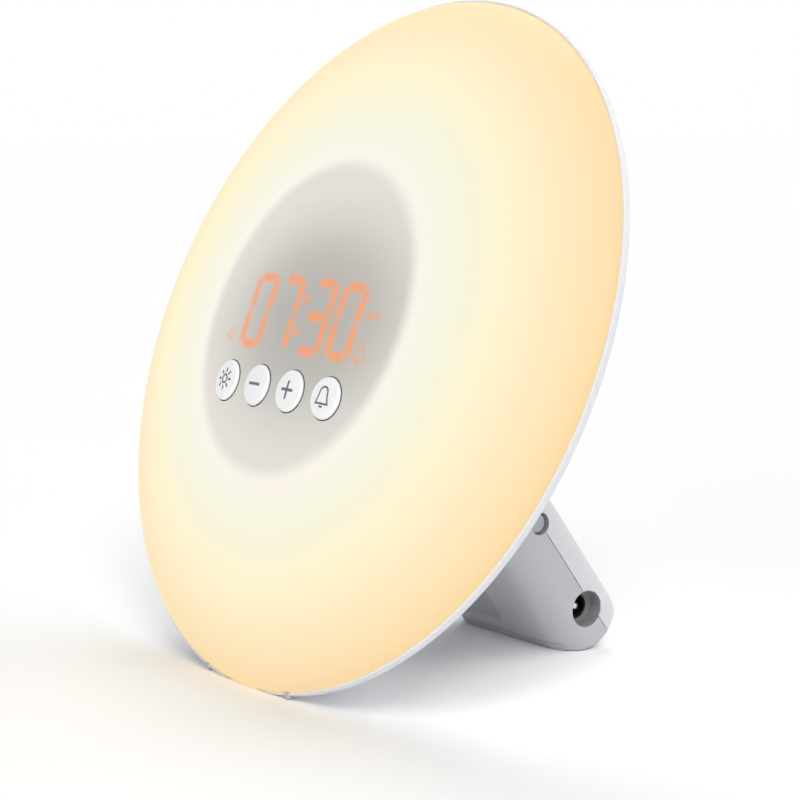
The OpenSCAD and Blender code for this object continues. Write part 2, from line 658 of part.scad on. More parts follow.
module leg_front_shell() color([0.83, 0.84, 0.85]) difference() {
    union() {
        difference() {
            union() {
                in_leg() difference() {
                    intersection() {
                        leg_block(0);
                        below_n(seam_n);
                    }
                    leg_block(leg_wall);
                }
                // bed of the foot strip
                intersection() {
                    in_leg() leg_block(leg_wall / 2);
                    in_clock() translate([-strip_w / 2 - leg_wall, 0, 0])
                        cube([strip_w + 2 * leg_wall, end_y + 2 + leg_wall, strip_h + leg_wall]);
                }
                // cup of the power inlet, whole inside the walls, and guides of the side buttons
                in_leg() {
                    intersection() {
                        cup_solid(side_x);
                        leg_block(leg_wall + fit);
                    }
                    intersection() {
                        union() {
                            cup_solid(side_x - leg_wall / 2);
                            for (x = [-1, 1]) guide_solid(x);
                        }
                        below_n(seam_n);
                    }
                }
                // screw bosses
                in_leg() at_leg_screws() translate([0, 0, -leg_h + leg_wall / 2])
                    cylinder(r = boss_r, h = leg_h - leg_wall / 2 + seam_n);
                // cross ribs on the front wall
                in_leg() for (s = [-20, -42, -60]) translate([-side_x + leg_wall + 6, s, leg_wall / 2 - leg_h])
                    cube([leg_w - 2 * leg_wall - 12, rib_t, rib_h + leg_wall / 2]);
                // seat of the jack board
                in_leg() for (s = [-4.4, 4]) translate([jack_x - jack_len, jack_s + s, leg_wall / 2 - leg_h])
                    cube([jack_len - 2, rib_t, jack_seat + leg_h - leg_wall / 2]);
                // slots that hold the side boards
                in_leg() for (x = [-1, 1], s = [-1, 1]) translate([x * (side_board_x + jack_board_t / 2)
                    - 1.8, s * (side_board_l / 2 - 0.7) - side_up - 0.9, leg_wall / 2 - leg_h])
                    cube([3.6, 1.8, 4]);
            }
            in_leg() {
                cup_void();
                for (x = [-1, 1]) guide_void(x);
                translate([pocket_x, toe_s - pocket_rise - pocket_l / 2, -leg_h - 1])
                    linear_extrude(pocket_depth + 1) rounded(pocket_w, pocket_l, pocket_round);
                for (x = [-1, 1]) mirror([x < 0 ? 1 : 0, 0, 0]) side_board_room(fit);
            }
        }
        // plate that meets the disc's back
        difference() {
            intersection() {
                leg_core();
                in_disc() translate([-big / 2, -big / 2, -back_depth - plate_t]) cube([big, big, plate_t]);
            }
            in_disc() translate([0, -leg_drop, -big / 2]) cylinder(r = lead_r, h = big);
        }
        // bosses of the four screws from the disc
        intersection() {
            leg_core();
            in_disc() at_stand_holes() translate([0, 0, -back_depth - plate_t - 3])
                cylinder(r = boss_r - 0.4, h = 3 + plate_t);
        }
    }
    beyond_back();
    in_disc() at_stand_holes() translate([0, 0, -back_depth - plate_t - 4]) cylinder(r = screw_r, h = 20);
    in_leg() at_leg_screws() translate([0, 0, -leg_h + leg_wall]) cylinder(r = screw_r, h = leg_t);
    strip_room(fit);
    in_clock() translate([-big / 2, -big / 2, 0.3 - big]) cube(big);
}

module leg_rear_cover() color([0.86, 0.87, 0.88]) difference() {
    union() {
        difference() {
            in_leg() intersection() {
                leg_block(0);
                above_n(seam_n + seam_gap);
            }
            in_leg() leg_block(leg_wall);
        }
        in_leg() intersection() {
            for (x = [-1, 1]) guide_solid(x);
            above_n(seam_n + seam_gap);
        }
        // screw tubes that stand on the front shell's bosses
        in_leg() at_leg_screws() translate([0, 0, seam_n])
            cylinder(r = boss_r, h = leg_h - leg_wall / 2 - seam_n);
        // posts of the screws that clamp the speaker
        at_clamps() cylinder(r = 2.1, h = leg_wall / 2 - speaker_low);
        // tabs that reach into the front shell
        in_leg() for (x = [-1, 1], s = tab_s) mirror([x < 0 ? 1 : 0, 0, 0])
            translate([side_x - leg_wall - fit - tab_t, s - tab_l / 2, seam_n]) {
                translate([0, 0, -tab_in]) cube([tab_t, tab_l, tab_in + tab_up + 2]);
                translate([0, 0, tab_up]) cube([tab_t + leg_wall / 2 + fit, tab_l, 2]);
            }
    }
    in_leg() {
        cup_void();
        for (x = [-1, 1]) guide_void(x);
        at_leg_screws() {
            translate([0, 0, -leg_t]) cylinder(r = screw_r + fit, h = 2 * leg_t);
            translate([0, 0, leg_h - head_h - 0.5]) cylinder(r = head_r + 0.3, h = leg_t);
        }
        translate([0, -speaker_up, 0]) grille(leg_t);
    }
    at_clamps() cylinder(r = screw_r, h = clamp_long);
    beyond_back(-fit);
    in_clock() translate([-big / 2, -big / 2, 0.3 - big]) cube(big);
}
tab_in = 2;             // reach of a tab into the front shell
tab_up = 1;
// rings of holes, six more in each ring than in the one before
module grille(h) {
    cylinder(d = grille_hole, h = h, $fn = 24);
    for (i = [1:grille_rings]) ring_of(6 * i, i * grille_pitch, 30 * (i % 2))
        cylinder(d = grille_hole, h = h, $fn = 24);
}
module leg_screws() color("silver") in_leg() at_leg_screws()
    translate([0, 0, leg_h - head_h - 0.5]) screw(leg_h - seam_n + 6);
module foot_strip() color([0.55, 0.56, 0.58]) intersection() {
    in_leg() leg_block(0);
    in_clock() translate([-strip_w / 2, 0, 0]) cube([strip_w, end_y + 2, strip_h]);
}

// power inlet -------------------------------------------------------------
jack_seat = jack_n - jack_h / 2 - jack_board_t;
jack_board_up = 9;      // reach of the board up the leg
module dc_jack_body() color([0.08, 0.08, 0.09]) in_leg() difference() {
    translate([jack_x - jack_len, jack_s - jack_w / 2, jack_n - jack_h / 2]) cube([jack_len, jack_w, jack_h]);
    side_hole(socket_d / 2, jack_x - socket_depth, side_x, jack_s, jack_n);
    side_hole(pin_d / 2 - 0.2, 0, side_x, jack_s, jack_n);
}
module dc_jack_pin() color([0.85, 0.83, 0.78]) in_leg() translate([0, jack_s, jack_n]) rotate([0, 90, 0]) {
    r = pin_d / 2;
    translate([0, 0, jack_x - socket_depth]) rotate_extrude()
        polygon([[0, 0], [r, 0], [r, socket_depth - 0.5], [r - 0.4, socket_depth + 0.1],
            [0, socket_depth + 0.1]]);
    translate([0, 0, jack_x - socket_depth - 2]) cylinder(r = r - 0.25, h = 2 + hair);
}
module jack_board() color([0.1, 0.35, 0.2]) in_leg()
    translate([jack_x - jack_len, jack_s - jack_board_up, jack_seat])
        cube([jack_len - 2, jack_board_up + jack_w / 2 - fit, jack_board_t]);

// side buttons ------------------------------------------------------------
side_board_l = 13;
module side_board_room(gap) translate([side_board_x - gap, -side_up - side_board_l / 2 - gap,
    leg_wall - leg_h - gap / 2]) cube([jack_board_t + 2 * gap, side_board_l + 2 * gap,
    leg_h - leg_wall + side_n + 3.2 + gap]);
module side_cap() in_leg() translate([0, -side_up, side_n]) rotate([0, 90, 0]) difference() {
    rotate_extrude() polygon([[0, side_face - 0.5], [side_r * 0.55, side_face - 0.35],
        [side_r - 0.5, side_face], [side_r - 0.15, side_face - 0.05], [side_r, side_face - 0.25],
        [side_r, guide_in - fit], [side_r + side_gap + 0.7, guide_in - fit],
        [side_r + side_gap + 0.7, guide_in - fit - side_flange], [stem_r, guide_in - fit - side_flange],
        [stem_r, side_low], [0, side_low]]);
}
module side_plunger() in_leg() translate([0, -side_up, side_n]) rotate([0, 90, 0])
    translate([0, 0, side_low - plunger_out - plunger_in]) cylinder(r = plunger_r, h = plunger_out + plunger_in);
module side_button_right() color([0.84, 0.85, 0.86]) side_cap();
module side_button_left() color([0.84, 0.85, 0.86]) mirror([1, 0, 0]) side_cap();
module plunger_right() color([0.75, 0.73, 0.7]) side_plunger();
module plunger_left() color([0.75, 0.73, 0.7]) mirror([1, 0, 0]) side_plunger();
module side_switches() color([0.12, 0.12, 0.13]) for (x = [0, 1]) mirror([x, 0, 0]) in_leg()
    difference() {
        translate([side_low - plunger_out - side_switch_h, -side_up - switch_w / 2, side_n - switch_w / 2])
            cube([side_switch_h, switch_w, switch_w]);
        side_hole(plunger_r + plunger_fit, side_low - plunger_out - plunger_in - button_travel - seat,
            side_x, -side_up, side_n);
    }
module side_boards() color([0.1, 0.35, 0.2]) for (x = [0, 1]) mirror([x, 0, 0]) in_leg()
    side_board_room(0);

// speaker -----------------------------------------------------------------
module at_speaker() in_leg() translate([0, -speaker_up, speaker_n]) children();
module speaker_gasket() color([0.1, 0.1, 0.1]) at_speaker() translate([0, 0, -gasket_t])
    tube(speaker_r, speaker_r - 3, gasket_t);
// frame with a ledge for the cone and four windows round the magnet
module speaker_basket() color([0.25, 0.25, 0.27]) at_speaker() difference() {
    rotate_extrude($fn = 96) polygon([[speaker_r, -gasket_t], [speaker_r, speaker_low],
        [speaker_r - 3.4, speaker_low], [magnet_r + 1.5, -speaker_depth],
        [magnet_r - 4, -speaker_depth], [magnet_r - 4, 1.2 - speaker_depth],
        [magnet_r + 1, 1.2 - speaker_depth], [speaker_r - 4.4, speaker_low + 0.4],
        [speaker_r - 4.4, -gasket_t - cone_seat], [speaker_r - 2.6, -gasket_t - cone_seat],
        [speaker_r - 2.6, -gasket_t]]);
    ring_of(4, (magnet_r + speaker_r) / 2 - 1, 45) translate([-2.6, -4, -speaker_depth - 1])
        cube([5.2, 8, speaker_depth - 2.4]);
}
// flange, half-round surround, cone and dust cap in one skin
module speaker_cone() color([0.14, 0.14, 0.15]) at_speaker() {
    level = cone_t / 2 - gasket_t - cone_seat;
    line = concat([[speaker_r - 2.7, level]],
        arc([speaker_r - 5.6, level], 1, 0, -180, 8),
        [[4.4, 3 - speaker_depth], [3.6, 3.9 - speaker_depth], [2, 4.6 - speaker_depth],
         [0, 4.9 - speaker_depth]]);
    rotate_extrude($fn = 96) polygon(concat([for (p = line) p + [0, cone_t / 2]],
        backwards([for (p = line) p - [0, cone_t / 2]])));
}
module speaker_magnet() color([0.45, 0.45, 0.47]) at_speaker() {
    translate([0, 0, -speaker_depth - magnet_h]) cylinder(r = magnet_r, h = magnet_h);
    translate([0, 0, -speaker_depth - hair]) cylinder(r = 3, h = 3);
}
module at_clamps() at_speaker() ring_of(4, speaker_r + 2.2, 45) translate([0, 0, speaker_low]) children();
module speaker_screws() color("silver") at_clamps() mirror([0, 0, 1]) screw(clamp_long);

// leads inside the leg ----------------------------------------------------
function to_leg(y, z) = let (dy = y - end_y, dz = z - leg_h)
    [dy * cos(leg_angle) - dz * sin(leg_angle), dy * sin(leg_angle) + dz * cos(leg_angle)];
// a point of the disc's frame, seen in the leg's frame
function disc_point(x, y, z) =
    let (p = to_leg(y * sin_t - z * cos_t, centre_z + y * cos_t + z * sin_t)) [x, p[0], p[1]];
plug_y = main_y - main_h / 2 + 0.2;
plug_z = main_top + plug_h / 2;
lead_n = -5.6;          // level of the leads over the ribs
module twin_lead(path) for (x = [-0.85, 0.85]) lead([for (p = path) p + [x, 0, 0]], 0.7);
lead_x = 6;             // the power lead's way past the speaker
mouth = [[3, -leg_drop, -back_depth], [-3, -leg_drop, -back_depth]];    // where each lead enters the disc
function into_disc(at, plug) = curve(disc_point(at.x, at.y, at.z + 0.6), disc_point(at.x, at.y, at.z + 5.6),
    disc_point(plug, plug_y - 6, plug_z), disc_point(plug, plug_y, plug_z), 8);
module power_lead() color([0.75, 0.1, 0.1]) in_leg() twin_lead(concat(
    curve([jack_x - jack_len - 2, jack_s - 3, jack_n], [2, -screw_low, jack_n],
        [lead_x, magnet_r + 6 - speaker_up, lead_n], [lead_x, magnet_r - speaker_up, lead_n], 10),
    curve([lead_x, -magnet_r - speaker_up, lead_n], [lead_x, -magnet_r - 6 - speaker_up, lead_n],
        disc_point(mouth[0].x, mouth[0].y - 1, mouth[0].z - 7),
        disc_point(mouth[0].x, mouth[0].y, mouth[0].z - 1), 8),
    into_disc(mouth[0], plug_x)));
module speaker_lead() color([0.15, 0.15, 0.6]) in_leg() twin_lead(concat(
    curve([-plug_x, magnet_r - 1.5 - speaker_up, lead_n + 1.2], [-plug_x, -6 - speaker_up, lead_n - 2],
        disc_point(mouth[1].x, mouth[1].y - 3, mouth[1].z - 6),
        disc_point(mouth[1].x, mouth[1].y, mouth[1].z - 1), 10),
    into_disc(mouth[1], -plug_x)));

diffuser();
back_shell();
front_feet();
reflector();
reflector_screws();
led_board();
leds_white();
leds_amber();
led_lead();
display_housing();
display_board();
display_screws();
digit_frame();
digit_leds();
front_switches();
button_light();
button_minus();
button_plus();
button_alarm();
plunger_light();
plunger_minus();
plunger_plus();
plunger_alarm();
main_board();
main_chips();
main_capacitors();
main_connectors();
board_screws();
ribbon_cable();
stand_screws();
leg_front_shell();
leg_rear_cover();
leg_screws();
foot_strip();
dc_jack_body();
dc_jack_pin();
jack_board();
side_button_right();
side_button_left();
plunger_right();
plunger_left();
side_switches();
side_boards();
speaker_gasket();
speaker_basket();
speaker_cone();
speaker_magnet();
speaker_screws();
power_lead();
speaker_lead();
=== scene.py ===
from math import asin, atan2, ceil, cos, hypot, pi, radians, sin, sqrt, tan

import bmesh
import bpy
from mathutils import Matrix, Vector
from mathutils.geometry import delaunay_2d_cdt


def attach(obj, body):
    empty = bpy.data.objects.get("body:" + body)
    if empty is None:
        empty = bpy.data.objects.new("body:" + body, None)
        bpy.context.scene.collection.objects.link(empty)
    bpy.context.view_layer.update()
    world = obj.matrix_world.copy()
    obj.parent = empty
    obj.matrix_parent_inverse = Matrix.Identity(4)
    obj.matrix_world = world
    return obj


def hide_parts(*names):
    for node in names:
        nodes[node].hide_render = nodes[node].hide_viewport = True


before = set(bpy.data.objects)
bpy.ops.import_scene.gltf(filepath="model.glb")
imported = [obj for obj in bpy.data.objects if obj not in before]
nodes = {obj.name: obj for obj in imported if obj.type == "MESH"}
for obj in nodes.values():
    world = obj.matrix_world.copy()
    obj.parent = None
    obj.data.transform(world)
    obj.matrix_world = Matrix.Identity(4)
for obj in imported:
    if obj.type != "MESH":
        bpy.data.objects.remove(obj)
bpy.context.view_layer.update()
mm = 0.001
weldGap = 1e-6  # points nearer than this become one
tiny = 1e-7

disc = {
    "tilt": 22.4,
    "middle": (0, -14.9124, 87.2592),
    "radius": 95.0,
    "domeEdge": 94.24,
    "domeRise": 20.4,
    "domeFlat": 2.03,
    "domeFull": 1.68,
    "domeWall": 2.0,
    "rimBand": 1.9,
    "backDepth": 16.0,
    "backWall": 2.0,
    "skirt": -0.8,  # how far the dome's edge reaches behind the rim plane
    "flank": 32.0,
    "flankRound": 10.0,
    "leadHole": {"y": -8.4, "r": 6},  # where the leg's wires come in
    "floorCut": 0.13,
    "ledge": {"r": 90, "deep": 0.9, "low": 3.6},  # step inside the rim, under the dome
}
leg = {
    "slope": 53.3,
    "end": (0, 42.7406, 11.6),
    "width": 50.6,
    "half": 11.6,
    "length": 107.0,
    "frontRound": 7.5,
    "rearRound": 7.5,
    "endRound": 1.5,
    "wall": 2.0,
    "seam": 2.3,
    "seamGap": 0.25,
    "stripHigh": 2.2,
    "stripWide": 45.0,
    "backGap": 0.05,
    "floorGap": 0.3,
}
keys = {
    "pitch": 15.2,
    "drop": 20.4,
    "cap": 10.9,
    "gap": 0.25,
    "ink": {"high": 0.02, "deep": 0.05, "up": 0.1},
    "proud": 1.3,
    "crown": 0.3,
    "round": 0.8,
    "bottom": 10.9,
    "flange": 0.95,
    "stem": 1.7,
    "leanFrom": 14,  # the cap follows the dome above this height
    "sleeve": 1.1,
    "sleeveLow": 12.2,
    "bodies": ("light_button", "minus_button", "plus_button", "alarm_button"),
    "names": ("Light", "Minus", "Plus", "Alarm"),
}
keyX = [keys["pitch"] * i for i in (-1.5, -0.5, 0.5, 1.5)]
keyY = -keys["drop"]
keyHole = keys["cap"] / 2 + keys["gap"]
legSide, legHalf = leg["width"] / 2, leg["half"]
tilt, slope = radians(disc["tilt"]), radians(leg["slope"])
discUp = Vector((0, sin(tilt), cos(tilt)))
discOut = Vector((0, -cos(tilt), sin(tilt)))
legDown = Vector((0, cos(slope), -sin(slope)))
legOut = Vector((0, sin(slope), cos(slope)))


def fromFrame(points, start, second, third):
    start = Vector(start)
    return [(start + Vector((a, 0, 0)) + second * b + third * c) * mm for a, b, c in points]


def toDisc(points):
    # disc frame: x right, y up the disc, z out of its face, origin in the rim plane
    return fromFrame(points, disc["middle"], discUp, discOut)


def toLeg(points):
    # leg frame: x right, s down the leg, n out of its rear face, origin in its rounded lower end
    return fromFrame(points, leg["end"], legDown, legOut)


def tone(*colour):
    # a colour as the eye reads it, 0 to 255, as a shader wants it
    parts = [v / 255 for v in colour]
    return (*(v / 12.92 if v <= 0.04045 else ((v + 0.055) / 1.055) ** 2.4 for v in parts), 1)


def addObject(name, data):
    made = bpy.data.objects.new(name, data)
    bpy.context.scene.collection.objects.link(made)
    return made


def newPiece(name, points, faces, paint=None):
    mesh = bpy.data.meshes.new(name)
    mesh.from_pydata([tuple(p) for p in points], [], faces)
    mesh.validate()
    if paint:
        mesh.materials.append(paint)
    return addObject(name, mesh)


def pieceFrom(bm, name):
    mesh = bpy.data.meshes.new(name)
    bm.to_mesh(mesh)
    bm.free()
    return addObject(name, mesh)


def openMesh(piece):
    bm = bmesh.new()
    bm.from_mesh(piece.data)
    return bm


def closeMesh(bm, piece):
    bmesh.ops.recalc_face_normals(bm, faces=bm.faces)
    bm.to_mesh(piece.data)
    bm.free()


def tidyMesh(piece):
    bm = openMesh(piece)
    bmesh.ops.remove_doubles(bm, verts=bm.verts, dist=weldGap)
    bmesh.ops.dissolve_degenerate(bm, edges=bm.edges, dist=tiny)
    closeMesh(bm, piece)


def cutter(points, faces):
    # a solid that a later cut uses up
    piece = newPiece("cutter", points, faces)
    tidyMesh(piece)
    return piece


def smooth(piece, angle=30):
    piece.data.shade_smooth()
    piece.data.set_sharp_from_angle(angle=radians(angle))


def wallFaces(a, b):
    # faces between two closed rows of points
    return [[a[k], a[k + 1 - len(a)], b[k + 1 - len(a)], b[k]] for k in range(len(a))]


def ringPoints(r, count, shift=0):
    turns = [2 * pi * (k + shift) / count for k in range(count)]
    return [(r * cos(a), r * sin(a)) for a in turns]


def arcPoints(cx, cy, r, first, last, steps):
    turns = [radians(first + (last - first) * i / steps) for i in range(steps + 1)]
    return [(cx + r * cos(a), cy + r * sin(a)) for a in turns]


def spin(profile, steps, place):
    # turns (radius, height) points about the height axis; place puts them where they belong
    points, rows = [], []
    for r, h in profile:
        if r < weldGap:
            rows.append([len(points)] * steps)
            points.append((0, 0, h))
        else:
            rows.append(range(len(points), len(points) + steps))
            points += [(x, y, h) for x, y in ringPoints(r, steps)]
    pairs = list(zip(rows, rows[1:]))
    if profile[0][0] > weldGap and profile[-1][0] > weldGap:
        pairs.append((rows[-1], rows[0]))
    faces = [list(dict.fromkeys(face)) for a, b in pairs for face in wallFaces(a, b)]
    return place(points), [face for face in faces if len(face) > 2]


def spun(name, profile, steps, place, paint, angle=30):
    piece = newPiece(name, *spin(profile, steps, place), paint)
    tidyMesh(piece)
    smooth(piece, angle)
    return piece


def rod(r, low, high, place, steps=64):
    return cutter(*spin([(0, low), (r, low), (r, high), (0, high)], steps, place))


def carve(piece, tools, operation="DIFFERENCE"):
    # cuts with solids that are thrown away afterwards; the piece keeps its own finish
    paints = list(piece.data.materials)
    for tool in tools:
        step = piece.modifiers.new("cut", "BOOLEAN")
        step.operation = operation
        step.solver = "MANIFOLD"
        step.object = tool
        bpy.context.view_layer.objects.active = piece
        bpy.ops.object.modifier_apply(modifier=step.name)
        bpy.data.objects.remove(tool)
    mesh = piece.data
    mesh.materials.clear()
    for paint in paints:
        mesh.materials.append(paint)
    mesh.polygons.foreach_set("material_index", [0] * len(mesh.polygons))


def cutPlane(piece, point, normal):
    # takes away what lies on the normal's side of the plane
    bm = openMesh(piece)
    plane = {"plane_co": point, "plane_no": normal, "clear_outer": True, "dist": tiny}
    cut = bmesh.ops.bisect_plane(bm, geom=bm.verts[:] + bm.edges[:] + bm.faces[:], **plane)
    rim = [e for e in cut["geom_cut"] if isinstance(e, bmesh.types.BMEdge) and e.is_boundary]
    bmesh.ops.triangle_fill(bm, use_beauty=True, use_dissolve=True, edges=rim, normal=normal)
    closeMesh(bm, piece)


def addNode(tree, kind, **values):
    node = tree.nodes.new("ShaderNode" + kind)
    for key, value in values.items():
        setattr(node, key, value)
    return node


def setIn(node, **values):
    for key, value in values.items():
        node.inputs[key.replace("_", " ")].default_value = value
    return node


def plug(source, node, socket):
    node.id_data.links.new(source, node.inputs[socket])


def newPaint(name):
    # a finish, its nodes, its shader and the place on the object
    paint = bpy.data.materials.new(name)
    paint.use_nodes = True
    tree = paint.node_tree
    where = addNode(tree, "TexCoord").outputs["Object"]
    return paint, tree, tree.nodes["Principled BSDF"], where


def noise(tree, where, scale, detail):
    node = setIn(addNode(tree, "TexNoise"), Scale=scale, Detail=detail)
    plug(where, node, "Vector")
    return node.outputs["Fac"]


def mixTones(tree, share, colour, other):
    # each is a plain value or comes from another node
    node = addNode(tree, "Mix", data_type="RGBA")
    for socket, source in (("Factor", share), ("A", colour), ("B", other)):
        if isinstance(source, bpy.types.NodeSocket):
            plug(source, node, socket)
        else:
            node.inputs[socket].default_value = source
    return node.outputs["Result"]


def ramp(tree, source, stops):
    # stops are place, red, green and blue
    node = addNode(tree, "ValToRGB")
    cells = node.color_ramp.elements
    while len(cells) < len(stops):
        cells.new(0.5)
    for cell, stop in zip(cells, stops):
        cell.position = stop[0]
    for cell, stop in zip(cells, stops):
        cell.color = tone(*stop[1:])
    plug(source, node, 0)
    return node.outputs["Color"]


def gloss(tree, shader, source, rough):
    sheen = setIn(addNode(tree, "MapRange"), To_Min=rough[0], To_Max=rough[1])
    plug(source, sheen, "Value")
    plug(sheen.outputs["Result"], shader, "Roughness")


def relief(tree, shader, source, strength, distance, invert=False):
    node = setIn(addNode(tree, "Bump", invert=invert), Strength=strength, Distance=distance)
    plug(source, node, "Height")
    plug(node.outputs["Normal"], shader, "Normal")


def moulded(name, colour, other, grain=2200, bump=0.03, rough=(0.38, 0.5), specular=0.5):
    # moulded plastic: slight drift of colour, fine spark-eroded grain, gloss that varies
    paint, tree, shader, where = newPaint(name)
    drift = noise(tree, where, scale=30, detail=3.0)
    plug(mixTones(tree, drift, tone(*colour), tone(*other)), shader, "Base Color")
    fine = noise(tree, where, grain, detail=2.0)
    gloss(tree, shader, fine, rough)
    relief(tree, shader, fine, bump, distance=0.0001)
    setIn(shader, Specular_IOR_Level=specular)
    return paint


def metal(name, colour, other, rough=(0.22, 0.4)):
    # fine streaks across the height
    paint, tree, shader, where = newPaint(name)
    stretch = setIn(addNode(tree, "Mapping"), Scale=(1, 1, 6))
    plug(where, stretch, "Vector")
    fine = noise(tree, stretch.outputs["Vector"], scale=900, detail=3.0)
    plug(mixTones(tree, fine, tone(*colour), tone(*other)), shader, "Base Color")
    gloss(tree, shader, fine, rough)
    setIn(shader, Metallic=1.0)
    return paint


def circuitBoard(name):
    # green mask over copper tracks
    paint, tree, shader, where = newPaint(name)
    tracks = setIn(addNode(tree, "TexVoronoi", feature="DISTANCE_TO_EDGE"), Scale=420.0)
    plug(where, tracks, "Vector")
    across = tracks.outputs["Distance"]
    greens = [(0.0, 88, 150, 96), (0.08, 60, 128, 76), (0.12, 24, 88, 48), (1.0, 16, 70, 38)]
    plug(ramp(tree, across, greens), shader, "Base Color")
    relief(tree, shader, across, strength=0.3, distance=0.00003, invert=True)
    setIn(shader, Roughness=0.35)
    return paint


def litPlastic(name, colour, other):
    paint, tree, shader, where = newPaint(name)
    mixed = mixTones(tree, noise(tree, where, scale=300.0, detail=2.0), tone(*colour), tone(*other))
    plug(mixed, shader, "Base Color")
    plug(mixed, shader, "Emission Color")
    setIn(shader, Emission_Strength=1.0, Roughness=0.4)
    return paint


glow = {
    "share": 0.72,  # part of the dome's brightness that is its own light
    "housingShadeMiddle": (0.1, -0.4),
    "housingShadeEdge": (38.8, 45.4),
    "shadeMiddle": (7, -1),
    "shadeReach": (68, 48),
    "digit": ((246, 158, 116), (255, 160, 98)),
    "unit": (100, 100),  # the lit tones' places count in these millimetres
    "lit": [
        (0.40, 252, 247, 236),
        (0.46, 251, 246, 233),
        (0.50, 250, 246, 229),
        (0.55, 249, 246, 224),
        (0.60, 249, 245, 219),
        (0.66, 253, 245, 212),
        (0.72, 255, 243, 206),
        (0.78, 255, 238, 200),
        (0.84, 254, 232, 190),
        (0.89, 253, 228, 182),
        (0.92, 252, 224, 175),
        (0.9424, 250, 219, 166),
    ],
    # painted shade of the display housing behind the dome, darkest towards its middle
    "shade": [
        (0.10, 182, 180, 174),
        (0.20, 184, 181, 176),
        (0.35, 191, 189, 182),
        (0.43, 200, 197, 191),
        (0.50, 208, 205, 199),
        (0.58, 216, 212, 206),
        (0.65, 222, 217, 210),
        (0.75, 227, 222, 216),
    ],
}


def domeGlow():
    # cream round the display, pale yellow, then peach at the rim; grey painted shade where the dark
    # display housing behind the dome shades it
    paint, tree, shader, where = newPaint("domeGlow")
    flat = addNode(tree, "Mapping", vector_type="TEXTURE")
    setIn(flat, Location=Vector(disc["middle"]) * mm, Rotation=(radians(90 - disc["tilt"]), 0, 0))
    plug(where, flat, "Vector")

    def reach(middle, stretch):
        # distance over the flat disc, 1 at the stretch
        source = flat.outputs["Vector"]
        shift = (middle[0] * mm, middle[1] * mm, 0)
        scale = (1 / mm / stretch[0], 1 / mm / stretch[1], 0)
        for operation, value in (("SUBTRACT", shift), ("MULTIPLY", scale)):
            node = addNode(tree, "VectorMath", operation=operation)
            plug(source, node, 0)
            node.inputs[1].default_value = value
            source = node.outputs["Vector"]
        length = addNode(tree, "VectorMath", operation="LENGTH")
        plug(source, length, 0)
        return length.outputs["Value"]

    lit = ramp(tree, reach((0, 0), glow["unit"]), glow["lit"])
    shade = ramp(tree, reach(glow["shadeMiddle"], glow["shadeReach"]), glow["shade"])
    first, last = (v / 100 for v in glow["housingShadeEdge"])
    edge = addNode(tree, "MapRange", interpolation_type="SMOOTHERSTEP")
    setIn(edge, From_Min=first, From_Max=last, To_Min=1.0, To_Max=0.0)
    plug(reach(glow["housingShadeMiddle"], glow["unit"]), edge, "Value")
    shadedGlow = mixTones(tree, edge.outputs["Result"], lit, shade)
    bars = addNode(tree, "Attribute", attribute_name="digitGlow")
    cloud = noise(tree, flat.outputs["Vector"], scale=180.0, detail=1.0)
    amber = ramp(tree, cloud, [(0.3, *glow["digit"][0]), (0.7, *glow["digit"][1])])
    shown = mixTones(tree, bars.outputs["Fac"], shadedGlow, amber)
    plug(shown, shader, "Emission Color")
    plug(mixTones(tree, 1 - glow["share"], (0, 0, 0, 1), shown), shader, "Base Color")
    fine = noise(tree, where, scale=2600.0, detail=2.0)
    gloss(tree, shader, fine, (0.5, 0.62))
    relief(tree, shader, fine, strength=0.04, distance=0.00005)
    setIn(shader, Emission_Strength=glow["share"], Specular_IOR_Level=0.25)
    return paint


domePaint = domeGlow()
legFinish = {"grain": 1800, "bump": 0.06, "rough": (0.5, 0.65), "specular": 0.3}
hollowFinish = {"rough": (0.6, 0.75), "specular": 0.2}
rubberFinish = {"rough": (0.6, 0.8), "bump": 0.1}
whiteShell = moulded("whiteShell", (236, 238, 242), (229, 231, 236))
# one grey plastic in two tones: the rear cover painted lighter as painted light, the front shell darker
# as painted shade; the side keys share the shell's grey
coverLitGrey = moulded("coverLitGrey", (224, 225, 227), (218, 219, 222), **legFinish)
legShadedGrey = moulded("legShadedGrey", (200, 201, 204), (193, 194, 198), **legFinish)
keyWhite = moulded("keyWhite", (252, 253, 253), (248, 249, 250), rough=(0.22, 0.3), bump=0.01)
# painted shade: dark grey for the key's straight wall low in the gap
keyGapShade = moulded("keyGapShade", (126, 127, 128), (116, 117, 118), rough=(0.4, 0.5))
# painted shade: darker greys for the inlet's recess, the side key holes and the pocket
recessShadeGrey = moulded("recessShadeGrey", (160, 161, 164), (152, 153, 156), **hollowFinish)
pocketShadeGrey = moulded("pocketShadeGrey", (188, 189, 192), (180, 181, 184), **hollowFinish)
keyInk = moulded("keyInk", (96, 99, 102), (112, 115, 118), rough=(0.45, 0.6))
# painted shade: dark grey on the key holes' walls, where the gaps round the keys are in shade
sleeveShadeGrey = moulded("sleeveShadeGrey", (92, 92, 92), (78, 78, 78), rough=(0.5, 0.7))
footGrey = moulded("footGrey", (196, 198, 202), (184, 186, 190), **rubberFinish)
stripGrey = moulded("stripGrey", (192, 193, 196), (185, 186, 190), **rubberFinish)
innerWhite = moulded("innerWhite", (244, 244, 242), (236, 236, 233), rough=(0.3, 0.45))
innerBlack = moulded("innerBlack", (30, 30, 32), (20, 20, 22), rough=(0.35, 0.55))
innerIvory = moulded("innerIvory", (235, 230, 212), (224, 218, 198), rough=(0.4, 0.55))
boardGreen = circuitBoard("boardGreen")
screwSteel = metal("screwSteel", (196, 199, 204), (160, 163, 168))
pinSteel = metal("pinSteel", (226, 224, 218), (196, 194, 188), rough=(0.15, 0.3))
canMetal = metal("canMetal", (206, 208, 212), (180, 182, 186))
ledWhite = litPlastic("ledWhite", (255, 246, 222), (255, 236, 200))
